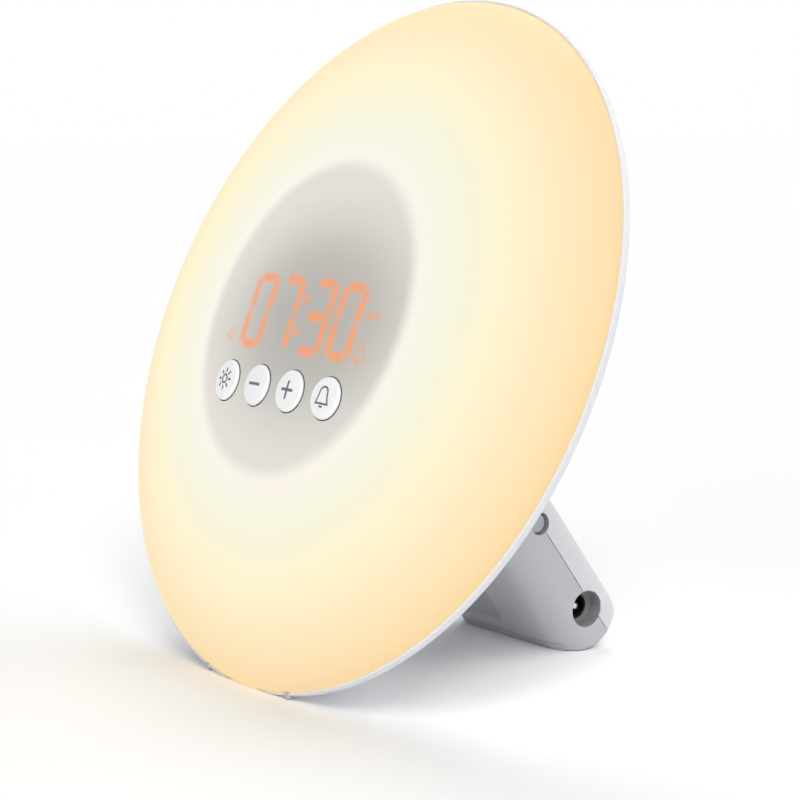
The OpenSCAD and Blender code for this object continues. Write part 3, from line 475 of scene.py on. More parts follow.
ledAmber = litPlastic("ledAmber", (255, 176, 84), (255, 150, 60))
coneBlack = moulded("coneBlack", (38, 38, 41), (24, 24, 26), grain=900, bump=0.2, rough=(0.6, 0.85))
magnetGrey = moulded("magnetGrey", (92, 93, 96), (70, 71, 74), grain=600, bump=0.2, rough=(0.6, 0.8))
leadRed = moulded("leadRed", (182, 34, 30), (160, 26, 24), rough=(0.35, 0.5))
leadBlue = moulded("leadBlue", (36, 44, 130), (28, 34, 110), rough=(0.35, 0.5))
ribbonGrey = moulded("ribbonGrey", (196, 198, 204), (176, 178, 184), rough=(0.4, 0.6))
print("finishes made")

nodePaints = {
    innerWhite: ["reflector", "digit_frame"],
    boardGreen: ["led_board", "display_board", "main_board", "jack_board", "side_boards"],
    ledWhite: ["leds_white"],
    ledAmber: ["leds_amber", "digit_leds"],
    innerBlack: ["display_housing", "front_switches", "main_chips", "dc_jack_body", "side_switches"],
    innerIvory: ["plunger_" + name for name in "light minus plus alarm right left".split()],
    screwSteel: [name + "_screws" for name in "reflector display board stand speaker".split()],
    canMetal: ["main_capacitors"],
    coneBlack: ["speaker_gasket", "speaker_basket", "speaker_cone"],
    magnetGrey: ["speaker_magnet"],
    leadRed: ["led_lead", "power_lead"],
    leadBlue: ["speaker_lead"],
    ribbonGrey: ["ribbon_cable"],
}
nodePaints[innerIvory].append("main_connectors")
for paint, names in nodePaints.items():
    for name in names:
        mesh = nodes[name].data
        mesh.materials.clear()
        mesh.materials.append(paint)
print("inner parts painted")


def domeHigh(r, rise, edge):
    return rise * max(1 - (min(r, edge) / edge) ** disc["domeFlat"], 0) ** (1 / disc["domeFull"])


def domeZ(r):
    return domeHigh(r, disc["domeRise"], disc["domeEdge"])


digits = {
    "centres": (-18.0, -5.3, 9.2, 21.5),
    "wide": (8.45, 8.3, 8.25, 7.75),  # between the two upright bars
    "middle": -0.6,
    "tall": 9.1,  # from the middle bar to the top bar
    "half": 0.95,  # half of a bar's width
    "gap": 1.6,  # from the middle bar to the upright ones
    "cut": {"flat": 1.9, "middle": 1.5, "upright": 1.25},
    "flatBar": (1.1, 1.0),  # times the half width, and brightness
    "uprightBar": (1.16, 0.9),
    "soft": 1.25,
    "shown": ("0", "7", "3", "0"),
    "colon": {"x": 2.6, "dots": (3.9, -4.9), "half": 0.7, "level": 0.95},
}
barsOf = {"0": "abcdef", "7": "abc", "3": "abgcd"}


def digitBars():
    # every lit bar as two ends, its half width and its brightness
    bars = []
    m, gap, cut = digits["middle"], digits["gap"], digits["cut"]
    low, high = m - digits["tall"], m + digits["tall"]
    for x, wide, shown in zip(digits["centres"], digits["wide"], digits["shown"]):
        left, right = x - wide / 2, x + wide / 2
        ends = {
            "a": ((left + cut["flat"], high), (right - cut["flat"], high)),
            "b": ((right, high - cut["upright"]), (right, m + gap)),
            "c": ((right, m - gap), (right, low + cut["upright"])),
            "d": ((left + cut["flat"], low), (right - cut["flat"], low)),
            "e": ((left, m - gap), (left, low + cut["upright"])),
            "f": ((left, high - cut["upright"]), (left, m + gap)),
            "g": ((left + cut["middle"], m), (right - cut["middle"], m)),
        }
        for bar in barsOf[shown]:
            wider, level = digits["flatBar"] if bar in "adg" else digits["uprightBar"]
            bars.append((*ends[bar], digits["half"] * wider, level))
    colon = digits["colon"]
    for dot in colon["dots"]:
        y = m + dot + 0.5
        bars.append(((colon["x"] - 0.6, y), (colon["x"] + 0.5, y), colon["half"], colon["level"]))
    return bars


marks = {
    "letterA": (28.3, [(0, 0, 0.8, 1.7), (0.8, 1.7, 1.6, 0), (0.4, 0.6, 1.2, 0.6)]),
    "letterM": (30.7, [(0, 0, 0, 1.7), (0, 1.7, 1.0, 0.6), (1.0, 0.6, 2.0, 1.7), (2.0, 1.7, 2.0, 0)]),
    "letterFoot": 1.05,
    "sun": {"at": (-28.3, -8.4), "ring": 0.95, "rays": (1.9, 2.8)},
    "bell": {"at": (30.35, -7.95), "size": (0.88, 0.97)},
    "bellFoot": ((28.9, -9.8), (31.7, -9.8)),
    "clapper": ((30.0, -10.65), (30.7, -10.65)),
}


def rayEnds(inner, outer):
    # the eight rays of a sun about its middle
    return list(zip(ringPoints(inner, 8), ringPoints(outer, 8)))


def markLines():
    # the small marks beside the digits as thin lines, each with its half width and brightness
    lines, foot, sun = [], marks["letterFoot"], marks["sun"]
    for x, strokes in (marks["letterA"], marks["letterM"]):
        lines += [((x + a, foot + b), (x + c, foot + d), 0.26, 0.85) for a, b, c, d in strokes]
    ring = arcPoints(*sun["at"], sun["ring"], 0, 360, 12)
    lines += [(a, b, 0.27, 0.75) for a, b in zip(ring, ring[1:])]
    x, y = sun["at"]
    lines += [((x + a, y + b), (x + c, y + d), 0.2, 0.72) for (a, b), (c, d) in rayEnds(*sun["rays"])]
    (x, y), (wide, high) = marks["bell"]["at"], marks["bell"]["size"]
    bell = [(px * wide + x, py * high + y) for px, py in bellOutline()]
    lines += [(a, b, 0.24, 0.7) for a, b in zip(bell, bell[1:] + bell[:1])]
    return lines + [(*marks["bellFoot"], 0.3, 0.85), (*marks["clapper"], 0.3, 0.8)]


def bellOutline():
    # closed outline of a bell about its middle, 4.6 wide and 4.3 high
    dome = arcPoints(0, 1.05, 1.52, 170, 10, 12)
    return [(-2.3, -1.75), (-1.85, -0.4), (-1.6, 0.6)] + dome + [(1.6, 0.6), (1.85, -0.4), (2.3, -1.75)]


def lineDistance(x, y, a, b):
    dx, dy = b[0] - a[0], b[1] - a[1]
    along = dx * dx + dy * dy
    t = 0 if along == 0 else max(0, min(1, ((x - a[0]) * dx + (y - a[1]) * dy) / along))
    return hypot(x - a[0] - t * dx, y - a[1] - t * dy)


def softly(distance, soft):
    t = max(0, min(1, 0.5 - distance / (2 * soft)))
    return t * t * (3 - 2 * t)


def digitGlow(x, y, bars, lines):
    best = 0.0
    for shapes, reach, soft in ((bars, 3, digits["soft"]), (lines, 1, 0.3)):
        for a, b, half, level in shapes:
            if min(a[0], b[0]) - reach < x < max(a[0], b[0]) + reach:
                if min(a[1], b[1]) - reach < y < max(a[1], b[1]) + reach:
                    best = max(best, level * softly(lineDistance(x, y, a, b) - half, soft))
    return best


nets = {
    "outer": {"wall": 0, "collars": (0.3, 0.75, 1.4), "clear": 0.5, "rings": 64, "spacing": 2.2},
    "inner": {"wall": disc["domeWall"], "collars": (1.5,), "clear": 1.5, "rings": 26, "spacing": 5},
    "outerBox": (-33.6, 34.2, -13.4, 11.2),  # holds the digits, over a closer net
    "innerBox": (0, 0, 0, 0),
    "step": 0.34,
    "rimPoints": 360,
    "holePoints": 72,
}


def domeSheet(side):
    # flat net over the disc: rings, a closer net under the digits and rings round each key hole
    net = nets[side]
    edge = disc["domeEdge"] - net["wall"]
    points, links = [], []

    def ringAt(cx, cy, r, count, closed):
        first = len(points)
        points.extend((cx + x, cy + y) for x, y in ringPoints(r, count))
        if closed:
            links.extend((first + k, first + (k + 1) % count) for k in range(count))

    ringAt(0, 0, edge, nets["rimPoints"], True)
    for x in keyX:
        ringAt(x, keyY, keyHole, nets["holePoints"], True)
        for step in net["collars"]:
            ringAt(x, keyY, keyHole + step, nets["holePoints"], False)

    def clear(x, y, limit):
        return all(hypot(x - k, y - keyY) > limit for k in keyX)

    keepOff = keyHole + net["collars"][-1] + net["clear"]
    left, right, low, high = nets[side + "Box"]
    for i in range(net["rings"]):
        r = edge * sin(pi / 2 * i / net["rings"])
        count = max(6, min(nets["rimPoints"], int(2 * pi * r / net["spacing"])))
        for x, y in ringPoints(r, count, 0.5 * (i % 2)):
            inside = left - 0.4 < x < right + 0.4 and low - 0.4 < y < high + 0.4
            if clear(x, y, keepOff) and not inside:
                points.append((x, y))
    if right > left:
        step = nets["step"]
        for i in range(int((right - left) / step) + 1):
            for k in range(int((high - low) / step) + 1):
                x, y = left + i * step, low + k * step
                if clear(x, y, keepOff):
                    points.append((x, y))
    found = delaunay_2d_cdt([Vector(p) for p in points], links, [], 0, 1e-6)
    flat = [(v.x, v.y) for v in found[0]]
    faces = []
    for f in found[2]:
        x = sum(flat[v][0] for v in f) / len(f)
        y = sum(flat[v][1] for v in f) / len(f)
        if clear(x, y, keyHole * 0.998) and hypot(x, y) < edge:
            faces.append(list(f))
    return flat, faces, edge


def makeDome():
    flat, allFaces, edge = domeSheet("outer")
    flatIn, facesIn, edgeIn = domeSheet("inner")
    points = [(x, y, domeZ(hypot(x, y))) for x, y in flat]
    outerCount = len(points)
    riseIn = disc["domeRise"] - disc["domeWall"]
    points += [(x, y, domeHigh(hypot(x, y), riseIn, edgeIn)) for x, y in flatIn]
    allFaces += [[v + outerCount for v in reversed(f)] for f in facesIn]

    def loopOf(cx, cy, r, offset, source):
        # the net's points on a circle, in order round it
        found = []
        for i, (x, y) in enumerate(source):
            if abs(hypot(x - cx, y - cy) - r) < 1e-4:
                found.append((atan2(y - cy, x - cx), i + offset))
        return [i for a, i in sorted(found)]

    def movedRow(row, cx, cy, r, z):
        # the same points round the same middle, at another radius and height
        first = len(points)
        for i in row:
            px, py = points[i][0] - cx, points[i][1] - cy
            k = r / hypot(px, py)
            points.append((cx + px * k, cy + py * k, z))
        return list(range(first, len(points)))

    def joinLoops(cx, cy, outerR, innerR, steps):
        # from the outer face over the steps to the inner face
        top = loopOf(cx, cy, outerR, 0, flat)
        under = loopOf(cx, cy, innerR, outerCount, flatIn)
        rows = [top] + [movedRow(top, cx, cy, r, z) for r, z in steps] + [under]
        for a, b in zip(rows, rows[1:]):
            for k in range(len(a)):
                n = (k + 1) % len(a)
                allFaces.append([a[k], b[k], b[n], a[n]])

    joinLoops(0, 0, edge, edgeIn, ((edge, disc["skirt"]), (edgeIn, disc["skirt"])))
    wallFrom = len(allFaces)
    low = keys["sleeveLow"]
    for x in keyX:
        joinLoops(x, keyY, keyHole, keyHole, ((keyHole, low), (keyHole + keys["sleeve"], low)))
    piece = newPiece("domeShell", toDisc(points), allFaces, domePaint)
    mesh = piece.data
    # the hole walls get the painted shade
    mesh.materials.append(sleeveShadeGrey)
    for i, face in enumerate(mesh.polygons):
        face.material_index = 1 if i >= wallFrom else 0
    bars, lines = digitBars(), markLines()
    left, right, low, high = nets["outerBox"]
    values = [0.0] * len(mesh.vertices)
    for i, (x, y) in enumerate(flat):
        if left - 1 < x < right + 1 and low - 1 < y < high + 1:
            values[i] = digitGlow(x, y, bars, lines)
    mesh.attributes.new("digitGlow", "FLOAT", "POINT").data.foreach_set("value", values)
    smooth(piece, 35)
    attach(piece, "root")
    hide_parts("diffuser")
    return piece


dome = makeDome()
print("dome made", len(dome.data.polygons))


def makeBack():
    r, band, depth, thick = disc["radius"], disc["rimBand"], disc["backDepth"], disc["backWall"]
    flank, turn = radians(disc["flank"]), disc["flankRound"]
    foot = r - (depth - band) / tan(flank) - turn * tan(flank / 2)
    lip = disc["domeEdge"] + 0.1
    profile = [(foot * k / 6, -depth) for k in range(6)]
    profile += arcPoints(foot, turn - depth, turn, -90, disc["flank"] - 90, 14)
    (x1, z1), (x2, z2) = profile[-1], (r - 0.3, -band - 0.3 * tan(flank))
    profile += [(x1 + (x2 - x1) * k / 8, z1 + (z2 - z1) * k / 8) for k in range(1, 9)]
    profile += [(r - 0.08, -band - 0.02), (r, -band + 0.15), (r, -0.3)]
    profile += arcPoints(r - 0.22, -0.22, 0.22, 0, 90, 5)[1:]
    ledge, deep, low = disc["ledge"]["r"], disc["ledge"]["deep"], disc["ledge"]["low"]
    profile += [(lip + 0.1, 0), (lip, -0.08), (lip, -deep), (ledge, -deep), (ledge, -low)]
    inner = arcPoints(foot, turn - depth, turn, disc["flank"] - 90, -90, 8)
    profile += [(x, z + thick) for x, z in inner] + [(0, thick - depth)]
    piece = newPiece("backShell", *spin(profile, 288, toDisc), whiteShell)
    tidyMesh(piece)
    hole = disc["leadHole"]

    def place(points):
        return toDisc([(x, y + hole["y"], z) for x, y, z in points])

    carve(piece, [rod(hole["r"], -depth - 2, 2 * thick - depth, place)])
    cutPlane(piece, (0, 0, disc["floorCut"] * mm), (0, 0, -1))
    smooth(piece, 28)
    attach(piece, "root")
    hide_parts("back_shell")


makeBack()
print("back made")

feet = {"pitch": 37.6, "wide": 2.3, "deep": 2.1, "tall": 2.3, "soft": 0.45, "along": 0.62}


def makeFeet():
    # two small nubs that carry the rim, rounded where they meet the floor
    a = asin(feet["pitch"] / 2 / disc["radius"])
    lowest = disc["radius"] * cos(a) * sin(tilt)
    y = disc["rimBand"] * feet["along"] * cos(tilt) - lowest + disc["middle"][1]
    for side in (-1, 1):
        bm = bmesh.new()
        bmesh.ops.create_cube(bm, size=1)
        size = feet["wide"], feet["deep"], feet["tall"]
        at = side * feet["pitch"] / 2, y, feet["tall"] / 2
        bmesh.ops.scale(bm, vec=Vector(size) * mm, verts=bm.verts)
        bmesh.ops.translate(bm, vec=Vector(at) * mm, verts=bm.verts)
        low = [e for e in bm.edges if min(v.co.z for v in e.verts) < 1e-4]
        bmesh.ops.bevel(bm, geom=low, offset=feet["soft"] * mm, segments=4, profile=0.5, affect="EDGES")
        piece = pieceFrom(bm, "rimFootRight" if side > 0 else "rimFootLeft")
        piece.data.materials.append(footGrey)
        smooth(piece, 40)
        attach(piece, "root")
        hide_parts("front_feet")


makeFeet()
print("feet made")


def fromDisc(point):
    # the other way round: millimetres in the disc's frame
    x, y, z = (a / mm - b for a, b in zip(point, disc["middle"]))
    return x, y * sin(tilt) + z * cos(tilt), z * sin(tilt) - y * cos(tilt)


def capTop(x):
    return domeZ(hypot(x, keys["drop"])) + keys["proud"]


def lean(x, px, py):
    # how much the dome rises at this place of the cap, so that the cap's top runs along with it
    return domeZ(hypot(x + px, py + keyY)) - domeZ(hypot(x, keys["drop"]))


def crownDrop(r):
    flat = keys["cap"] / 2 - keys["round"]
    return keys["crown"] * min(r / flat, 1) ** 2


def capProfile(x):
    top, r, bottom = capTop(x), keys["cap"] / 2, keys["bottom"]
    flat, flange, stem = r - keys["round"], r + keys["flange"], keys["stem"]
    profile = [(flat * k / 8, top - crownDrop(flat * k / 8)) for k in range(9)]
    profile += arcPoints(flat, top - keys["crown"] - keys["round"], keys["round"], 82, 0, 9)
    profile += [(r, bottom + 1.0), (flange, bottom + 1.0), (flange, bottom), (stem, bottom)]
    return profile + [(stem, bottom - 0.5), (0, bottom - 0.5)]


def dense(line, step=0.3):
    # the same closed line with points no farther apart than the step
    points = []
    for (ax, ay), (bx, by) in zip(line, line[1:] + line[:1]):
        count = max(1, ceil(hypot(bx - ax, by - ay) / step))
        points += [(ax + (bx - ax) * k / count, ay + (by - ay) * k / count) for k in range(count)]
    return points


def iconShapes(name):
    # each printed mark about the cap's middle: the two sides of every stroke, and whether it closes
    if name == "Minus":
        return [pill((-2.15, 0), (2.15, 0), 0.38)]
    if name == "Plus":
        ends = (((-2.1, 0), (2.1, 0)), ((0, -2.1), (0, -0.3)), ((0, 0.3), (0, 2.1)))
        return [pill(a, b, 0.38) for a, b in ends]
    if name == "Light":
        ring = band(arcPoints(0, 0, 1.1, 0, 360, 32)[:-1], 0.27)
        return [ring] + [pill(a, b, 0.3) for a, b in rayEnds(2.0, 2.75)]
    return [band(dense(bellOutline()), 0.26), pill((-0.4, -2.5), (0.4, -2.5), 0.28)]


def pill(a, b, half):
    # a bar with round ends
    length = hypot(b[0] - a[0], b[1] - a[1])
    ux, uy = (b[0] - a[0]) / length, (b[1] - a[1]) / length
    turns = [half * cos(radians(v)) for v in (172, 150, 125, 100)]
    stations = turns + [length * k / 8 for k in range(9)] + [length - v for v in reversed(turns)]
    sides = ([], [])
    for t in stations:
        over = max(-t, t - length, 0)
        w = sqrt(max(half * half - over * over, 0))
        sides[0].append((a[0] + ux * t - uy * w, a[1] + uy * t + ux * w))
        sides[1].append((a[0] + ux * t + uy * w, a[1] + uy * t - ux * w))
    return *sides, False


def band(line, half):
    # the two sides of a closed line of even width
    sides = ([], [])
    count = len(line)
    for i, (x, y) in enumerate(line):
        px, py = line[(i - 1) % count]
        nx, ny = line[(i + 1) % count]
        ax, ay, bx, by = x - px, y - py, nx - x, ny - y
        la, lb = hypot(ax, ay), hypot(bx, by)
        nax, nay, nbx, nby = ay / la, -ax / la, by / lb, -bx / lb
        mx, my = nax + nbx, nay + nby
        size = hypot(mx, my)
        k = min(half / max(0.35, (mx * nax + my * nay) / size), 2 * half)
        sides[0].append((x + mx / size * k, y + my / size * k))
        sides[1].append((x - mx / size * k, y - my / size * k))
    return *sides, True


def makeIcon(name, x, body):
    points, faces = [], []
    ink = keys["ink"]

    def put(px, py, level):
        py += ink["up"]
        top = capTop(x) - crownDrop(hypot(px, py)) + lean(x, px, py)
        points.append((x + px, py + keyY, top + level))
        return len(points) - 1

    for left, right, closed in iconShapes(name):
        levels = ink["high"], -ink["deep"]
        rows = [[put(px, py, level) for px, py in side] for side in (left, right) for level in levels]
        a, aLow, b, bLow = rows
        for k in range(len(a) if closed else len(a) - 1):
            n = (k + 1) % len(a)
            faces += [[a[k], a[n], b[n], b[k]], [aLow[n], aLow[k], bLow[k], bLow[n]]]
            faces += [[a[n], a[k], aLow[k], aLow[n]], [b[k], b[n], bLow[n], bLow[k]]]
        if not closed:
            faces += [[a[0], b[0], bLow[0], aLow[0]], [b[-1], a[-1], aLow[-1], bLow[-1]]]
    piece = newPiece("mark" + name, toDisc(points), faces, keyInk)
    closeMesh(openMesh(piece), piece)
    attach(piece, body)


for name, x, body in zip(keys["names"], keyX, keys["bodies"]):

    def place(points, x=x):
        rises = [lean(x, px, py) if pz > keys["leanFrom"] else 0 for px, py, pz in points]
        moved = [(px + x, py + keyY, pz + more) for (px, py, pz), more in zip(points, rises)]
        return toDisc(moved)

    cap = spun("key" + name, capProfile(x), 96, place, keyWhite, 32)
    cap.data.materials.append(keyGapShade)
    # the wall below the rounded edge gets the painted shade of the gap
    for face in cap.data.polygons:
        px, py, pz = fromDisc(face.center)
        roundFrom = domeZ(hypot(px, py)) + keys["proud"] - keys["crown"] - 0.93 * keys["round"]
        face.material_index = 1 if pz < roundFrom else 0
    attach(cap, body)
    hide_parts("button_" + name.lower())
    makeIcon(name, x, body)
print("keys made")


def stacked(place, outlines):
    # a closed solid through outlines with the same number of points
    count = len(outlines[0])
    rows = [range(k * count, (k + 1) * count) for k in range(len(outlines))]
    faces = [list(rows[0])[::-1], list(rows[-1])]
    faces += [face for a, b in zip(rows, rows[1:]) for face in wallFaces(a, b)]
    return cutter(place([p for outline in outlines for p in outline]), faces)


def prism(outline, low, high, place):
    # a flat outline drawn out from low to high
    return stacked(place, [[(u, v, w) for u, v in outline] for w in (low, high)])


def legSolid(inset, name="cutter"):
    # the section drawn out along the leg, cut with the side view whose edges are rounded
    side, half, top = legSide - inset, legHalf - inset, -leg["length"] - 2 * inset
    front, rear = leg["frontRound"] - inset, leg["rearRound"] - inset
    edge = max(leg["endRound"] - inset, 0)
    section = []
    corners = ((-1, -1, front, 180), (1, -1, front, 270), (1, 1, rear, 0), (-1, 1, rear, 90))
    for x, y, r, first in corners:
        section += arcPoints(x * (side - r), y * (half - r), r, first, first + 90, 20)
    body = prism(section, top, 30, lambda points: toLeg([(u, w, v) for u, v, w in points]))

    def outline(inward):
        h = half - inward
        reach = (half + 3 - h * cos(slope)) / sin(slope)
        low = (h * sin(slope) - reach * cos(slope), -half - 3)
        view = [(top - 1, -half - 3), low] + arcPoints(0, 0, h, leg["slope"] - 90, 90, 48)
        return view + [(0, half + 2), (top - 1, half + 2)]

    levels = [(-side - 2, edge)]
    if edge > 0:
        turns = [radians(90 * k / 8) for k in range(9)]
        levels += [(edge - side - edge * cos(t), edge - edge * sin(t)) for t in turns]
    else:
        levels += [(-side, 0)]
    levels += [(-x, inward) for x, inward in reversed(levels)]
    slab = stacked(toLeg, [[(x, u, v) for u, v in outline(inward)] for x, inward in levels])
    carve(body, [slab], "INTERSECT")
    body.name = name
    return body


def acrossLeg(s, n, way=1):
    # turns points drawn about an axis across the leg into the row's frame
    return lambda points: toLeg([(way * pz, s + px, n + py) for px, py, pz in points])


def sideRod(r, low, high, s, n, steps=72):
    return rod(r, low, high, acrossLeg(s, n), steps)


def sideCone(r, edge, face, s, n, steps=96):
    # widens a hole's mouth by the edge
    ends = [(0, face - edge), (r, face - edge), (r + edge + 0.5, face + 0.5), (0, face + 0.5)]
    return cutter(*spin(ends, steps, acrossLeg(s, n)))


def outOfLeg(x, s):
    # sets points about an axis that stands on the leg's rear face
    return lambda points: toLeg([(x + px, s + py, pz) for px, py, pz in points])


def faceRod(r, low, high, x, s, steps=32):
    return rod(r, low, high, outOfLeg(x, s), steps)


inlet = {
    "s": 0.5,
    "n": 0.6,
    "recess": 10.0,
    "edge": 0.3,
    "depth": 4.5,
    "socket": 7.0,
    "pin": 2.1,
    "socketDeep": 9.0,
}
sideKey = {"s": -30.0, "cap": 5.6, "gap": 0.25, "sunk": 1.3, "inner": 5.4, "stem": 1.7}
pocket = {"x": -8.2, "s": -15.5, "wide": 22.4, "long": 31.2, "deep": 1.1, "round": 5.0}
grille = {"s": -52.07, "hole": 2.0, "pitch": 3.2, "rings": 4}
legScrews = {"x": 17.4, "s": (-13.0, -70.07), "head": 2.8, "sunk": 2.1}
sideHole = sideKey["cap"] / 2 + sideKey["gap"]


def pocketCutter():
    w, h, r = pocket["wide"] / 2, pocket["long"] / 2, pocket["round"]
    outline = []
    for turn, (cx, cy) in enumerate(((w - r, h - r), (r - w, h - r), (r - w, r - h), (w - r, r - h))):
        outline += arcPoints(cx, cy, r, 90 * turn, 90 * turn + 90, 10)
    floor = pocket["deep"] - legHalf
    # sides flare a little, so that the pocket's edge is soft
    flare = ((floor, -0.5), (floor - 0.35, -0.12), (0.12 - legHalf, 0), (-legHalf - 2, 0.6))
    outlines = []
    for level, grow in flare:
        wider = [(x + grow * x / hypot(x, y), y + grow * y / hypot(x, y)) for x, y in outline]
        outlines.append([(pocket["x"] + x, pocket["s"] + y, level) for x, y in wider])
    return stacked(toLeg, outlines)


def stripRoom(grow):
    # the box under the leg that the foot strip fills
    x, y, z = leg["stripWide"] / 2 + grow, leg["end"][1] + 2 + grow, leg["stripHigh"] + grow
    points = [(a * x * mm, b * mm, c * mm) for a in (-1, 1) for b in (0, y) for c in (-5, z)]
    faces = [[0, 1, 3, 2], [4, 6, 7, 5], [0, 4, 5, 1], [2, 3, 7, 6], [0, 2, 6, 4], [1, 5, 7, 3]]
    return cutter(points, faces)


def soften(piece, width=0.22, angle=38):
    # a small round on every crisp edge
    step = piece.modifiers.new("edge", "BEVEL")
    step.width = width * mm
    step.segments = 2
    step.limit_method = "ANGLE"
    step.angle_limit = radians(angle)
    even = piece.modifiers.new("even", "WEIGHTED_NORMAL")
    even.keep_sharp = True
    even.weight = 60


def sideCuts():
    at, face = (inlet["s"], inlet["n"]), legSide - inlet["depth"]
    cuts = [
        sideRod(inlet["recess"] / 2, face, legSide + 2, *at, 96),
        sideCone(inlet["recess"] / 2, inlet["edge"], legSide, *at),
        sideRod(inlet["socket"] / 2, face - 3, legSide, *at),
    ]
    for x in (-1, 1):
        ends = sorted((x * (legSide - sideKey["inner"] - 1), x * (legSide + 2)))
        cuts.append(sideRod(sideHole, *ends, sideKey["s"], leg["seam"]))
    return cuts


def cupSolid(reach):
    # collar that carries the inlet's recess inside the shell
    face = legSide - inlet["depth"]
    return sideRod(inlet["recess"] / 2 + 1.2, face - 1.2, reach, inlet["s"], inlet["n"])


def guideSolid(x):
    ends = sorted((x * (legSide - sideKey["inner"]), x * (legSide - 1.2)))
    return sideRod(sideHole + 1, *ends, sideKey["s"], leg["seam"])


def paintHollowShade(piece):
    # the inlet's recess, the key holes and the pocket are painted darker grey as painted shade, with a
    # duller finish
    piece.data.materials.append(recessShadeGrey)
    piece.data.materials.append(pocketShadeGrey)
    skin, near = legSide - 0.1, 0.1
    for face in piece.data.polygons:
        x, y, z = (p / mm - q for p, q in zip(face.center, leg["end"]))
        s = y * cos(slope) - z * sin(slope)
        n = y * sin(slope) + z * cos(slope)
        byInlet = hypot(s - inlet["s"], n - inlet["n"]) < inlet["recess"] / 2 + near
        byKey = hypot(s - sideKey["s"], n - leg["seam"]) < sideHole + near
        if (legSide - inlet["depth"] - 0.2 < x < skin and byInlet) or (abs(x) < skin and byKey):
            face.material_index = 1
        across, along = abs(x - pocket["x"]), abs(s - pocket["s"])
        inPocket = across < pocket["wide"] / 2 - 0.2 and along < pocket["long"] / 2 - 0.2
        if inPocket and 0.2 - legHalf < n < pocket["deep"] - legHalf + near:
            face.material_index = 2


def grilleDrills():
    # rings of small round holes over the speaker, as one cutter
    holes = [(0.0, 0.0)]
    for ring in range(1, grille["rings"] + 1):
        r = ring * grille["pitch"]
        turns = [radians(30 * (ring % 2) + 60 * k / ring) for k in range(6 * ring)]
        holes += [(r * cos(a), r * sin(a)) for a in turns]
    bm = bmesh.new()
    for x, y in holes:
        drill = faceRod(grille["hole"] / 2, legHalf - 4, legHalf + 2, x, grille["s"] + y, 20)
        bm.from_mesh(drill.data)
        bpy.data.objects.remove(drill)
    return pieceFrom(bm, "cutter")


def makeLegHalf(name, node, rear):
    piece = legSolid(0, name)
    piece.data.materials.append(coverLitGrey if rear else legShadedGrey)
    carve(piece, [legSolid(leg["wall"])])
    carve(piece, [guideSolid(1), guideSolid(-1)], "UNION")
    if rear:
        cuts, level = [], legHalf - legScrews["sunk"]
        for x in (-legScrews["x"], legScrews["x"]):
            for s in legScrews["s"]:
                carve(piece, [faceRod(3.0, 4, legHalf - 1, x, s)], "UNION")
                cuts += [faceRod(legScrews["head"], level, 20, x, s), faceRod(1.4, -5, level + 1, x, s)]
        carve(piece, cuts)
        carve(piece, [grilleDrills()])
        cutPlane(piece, toLeg([(0, 0, leg["seam"] + leg["seamGap"])])[0], -legOut)
    else:
        # all behind the seam goes, except the collar of the inlet
        carve(piece, [stripRoom(0.1), pocketCutter()])
        low, high, side = -leg["length"] - 20, 40, 60
        behind = prism([(-side, low), (side, low), (side, high), (-side, high)], leg["seam"], 40, toLeg)
        spare = cupSolid(legSide + 3)
        carve(spare, [legSolid(leg["wall"] + 0.08)], "INTERSECT")
        carve(piece, [cupSolid(legSide - 1)], "UNION")
        carve(behind, [spare])
        carve(piece, [behind])
    carve(piece, sideCuts())
    at = toDisc([(0, 0, -disc["backDepth"])])[0]
    cutPlane(piece, at - discOut * leg["backGap"] * mm, discOut)
    cutPlane(piece, (0, 0, leg["floorGap"] * mm), (0, 0, -1))
    tidyMesh(piece)
    paintHollowShade(piece)
    smooth(piece, 30)
    soften(piece)
    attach(piece, "root")
    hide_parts(node)
    return piece


legFront = makeLegHalf("legFront", "leg_front_shell", False)
print("leg front made", len(legFront.data.polygons))
legRear = makeLegHalf("legRear", "leg_rear_cover", True)
print("leg rear made", len(legRear.data.polygons))


def makeStrip():
    piece = legSolid(0, "footStrip")
    piece.data.materials.append(stripGrey)
    carve(piece, [stripRoom(0)], "INTERSECT")
    cutPlane(piece, (0, 0, 0.00002), (0, 0, -1))
    tidyMesh(piece)
    smooth(piece, 30)
    soften(piece, 0.3)
    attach(piece, "root")
    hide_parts("foot_strip")


makeStrip()
print("foot strip made")


def makeInlet():
    face = legSide - inlet["depth"] - 0.15
    deep = face - inlet["socketDeep"]
    place = acrossLeg(inlet["s"], inlet["n"])
    r = inlet["socket"] / 2 - 0.05
    profile = [(r, face - 0.4), (r - 0.12, face - 0.05), (r - 0.32, face), (r - 0.45, face - 0.12)]
    profile += [(r - 0.5, face - 1.2), (r - 0.5, deep + 0.6), (0.9, deep + 0.6), (0.9, deep - 0.5)]
    barrel = spun("inletBarrel", profile + [(r, deep - 0.5)], 64, place, innerBlack)
    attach(barrel, "root")
    p = inlet["pin"] / 2
    pin = [(0, deep - 0.4), (p, deep - 0.4), (p, face - 0.65)]
    pin += arcPoints(p - 0.5, face - 0.65, 0.5, 0, 90, 6)[1:] + [(0, face - 0.13)]
    tip = spun("inletPin", pin, 48, place, pinSteel)
    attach(tip, "root")
    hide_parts("dc_jack_pin")


makeInlet()


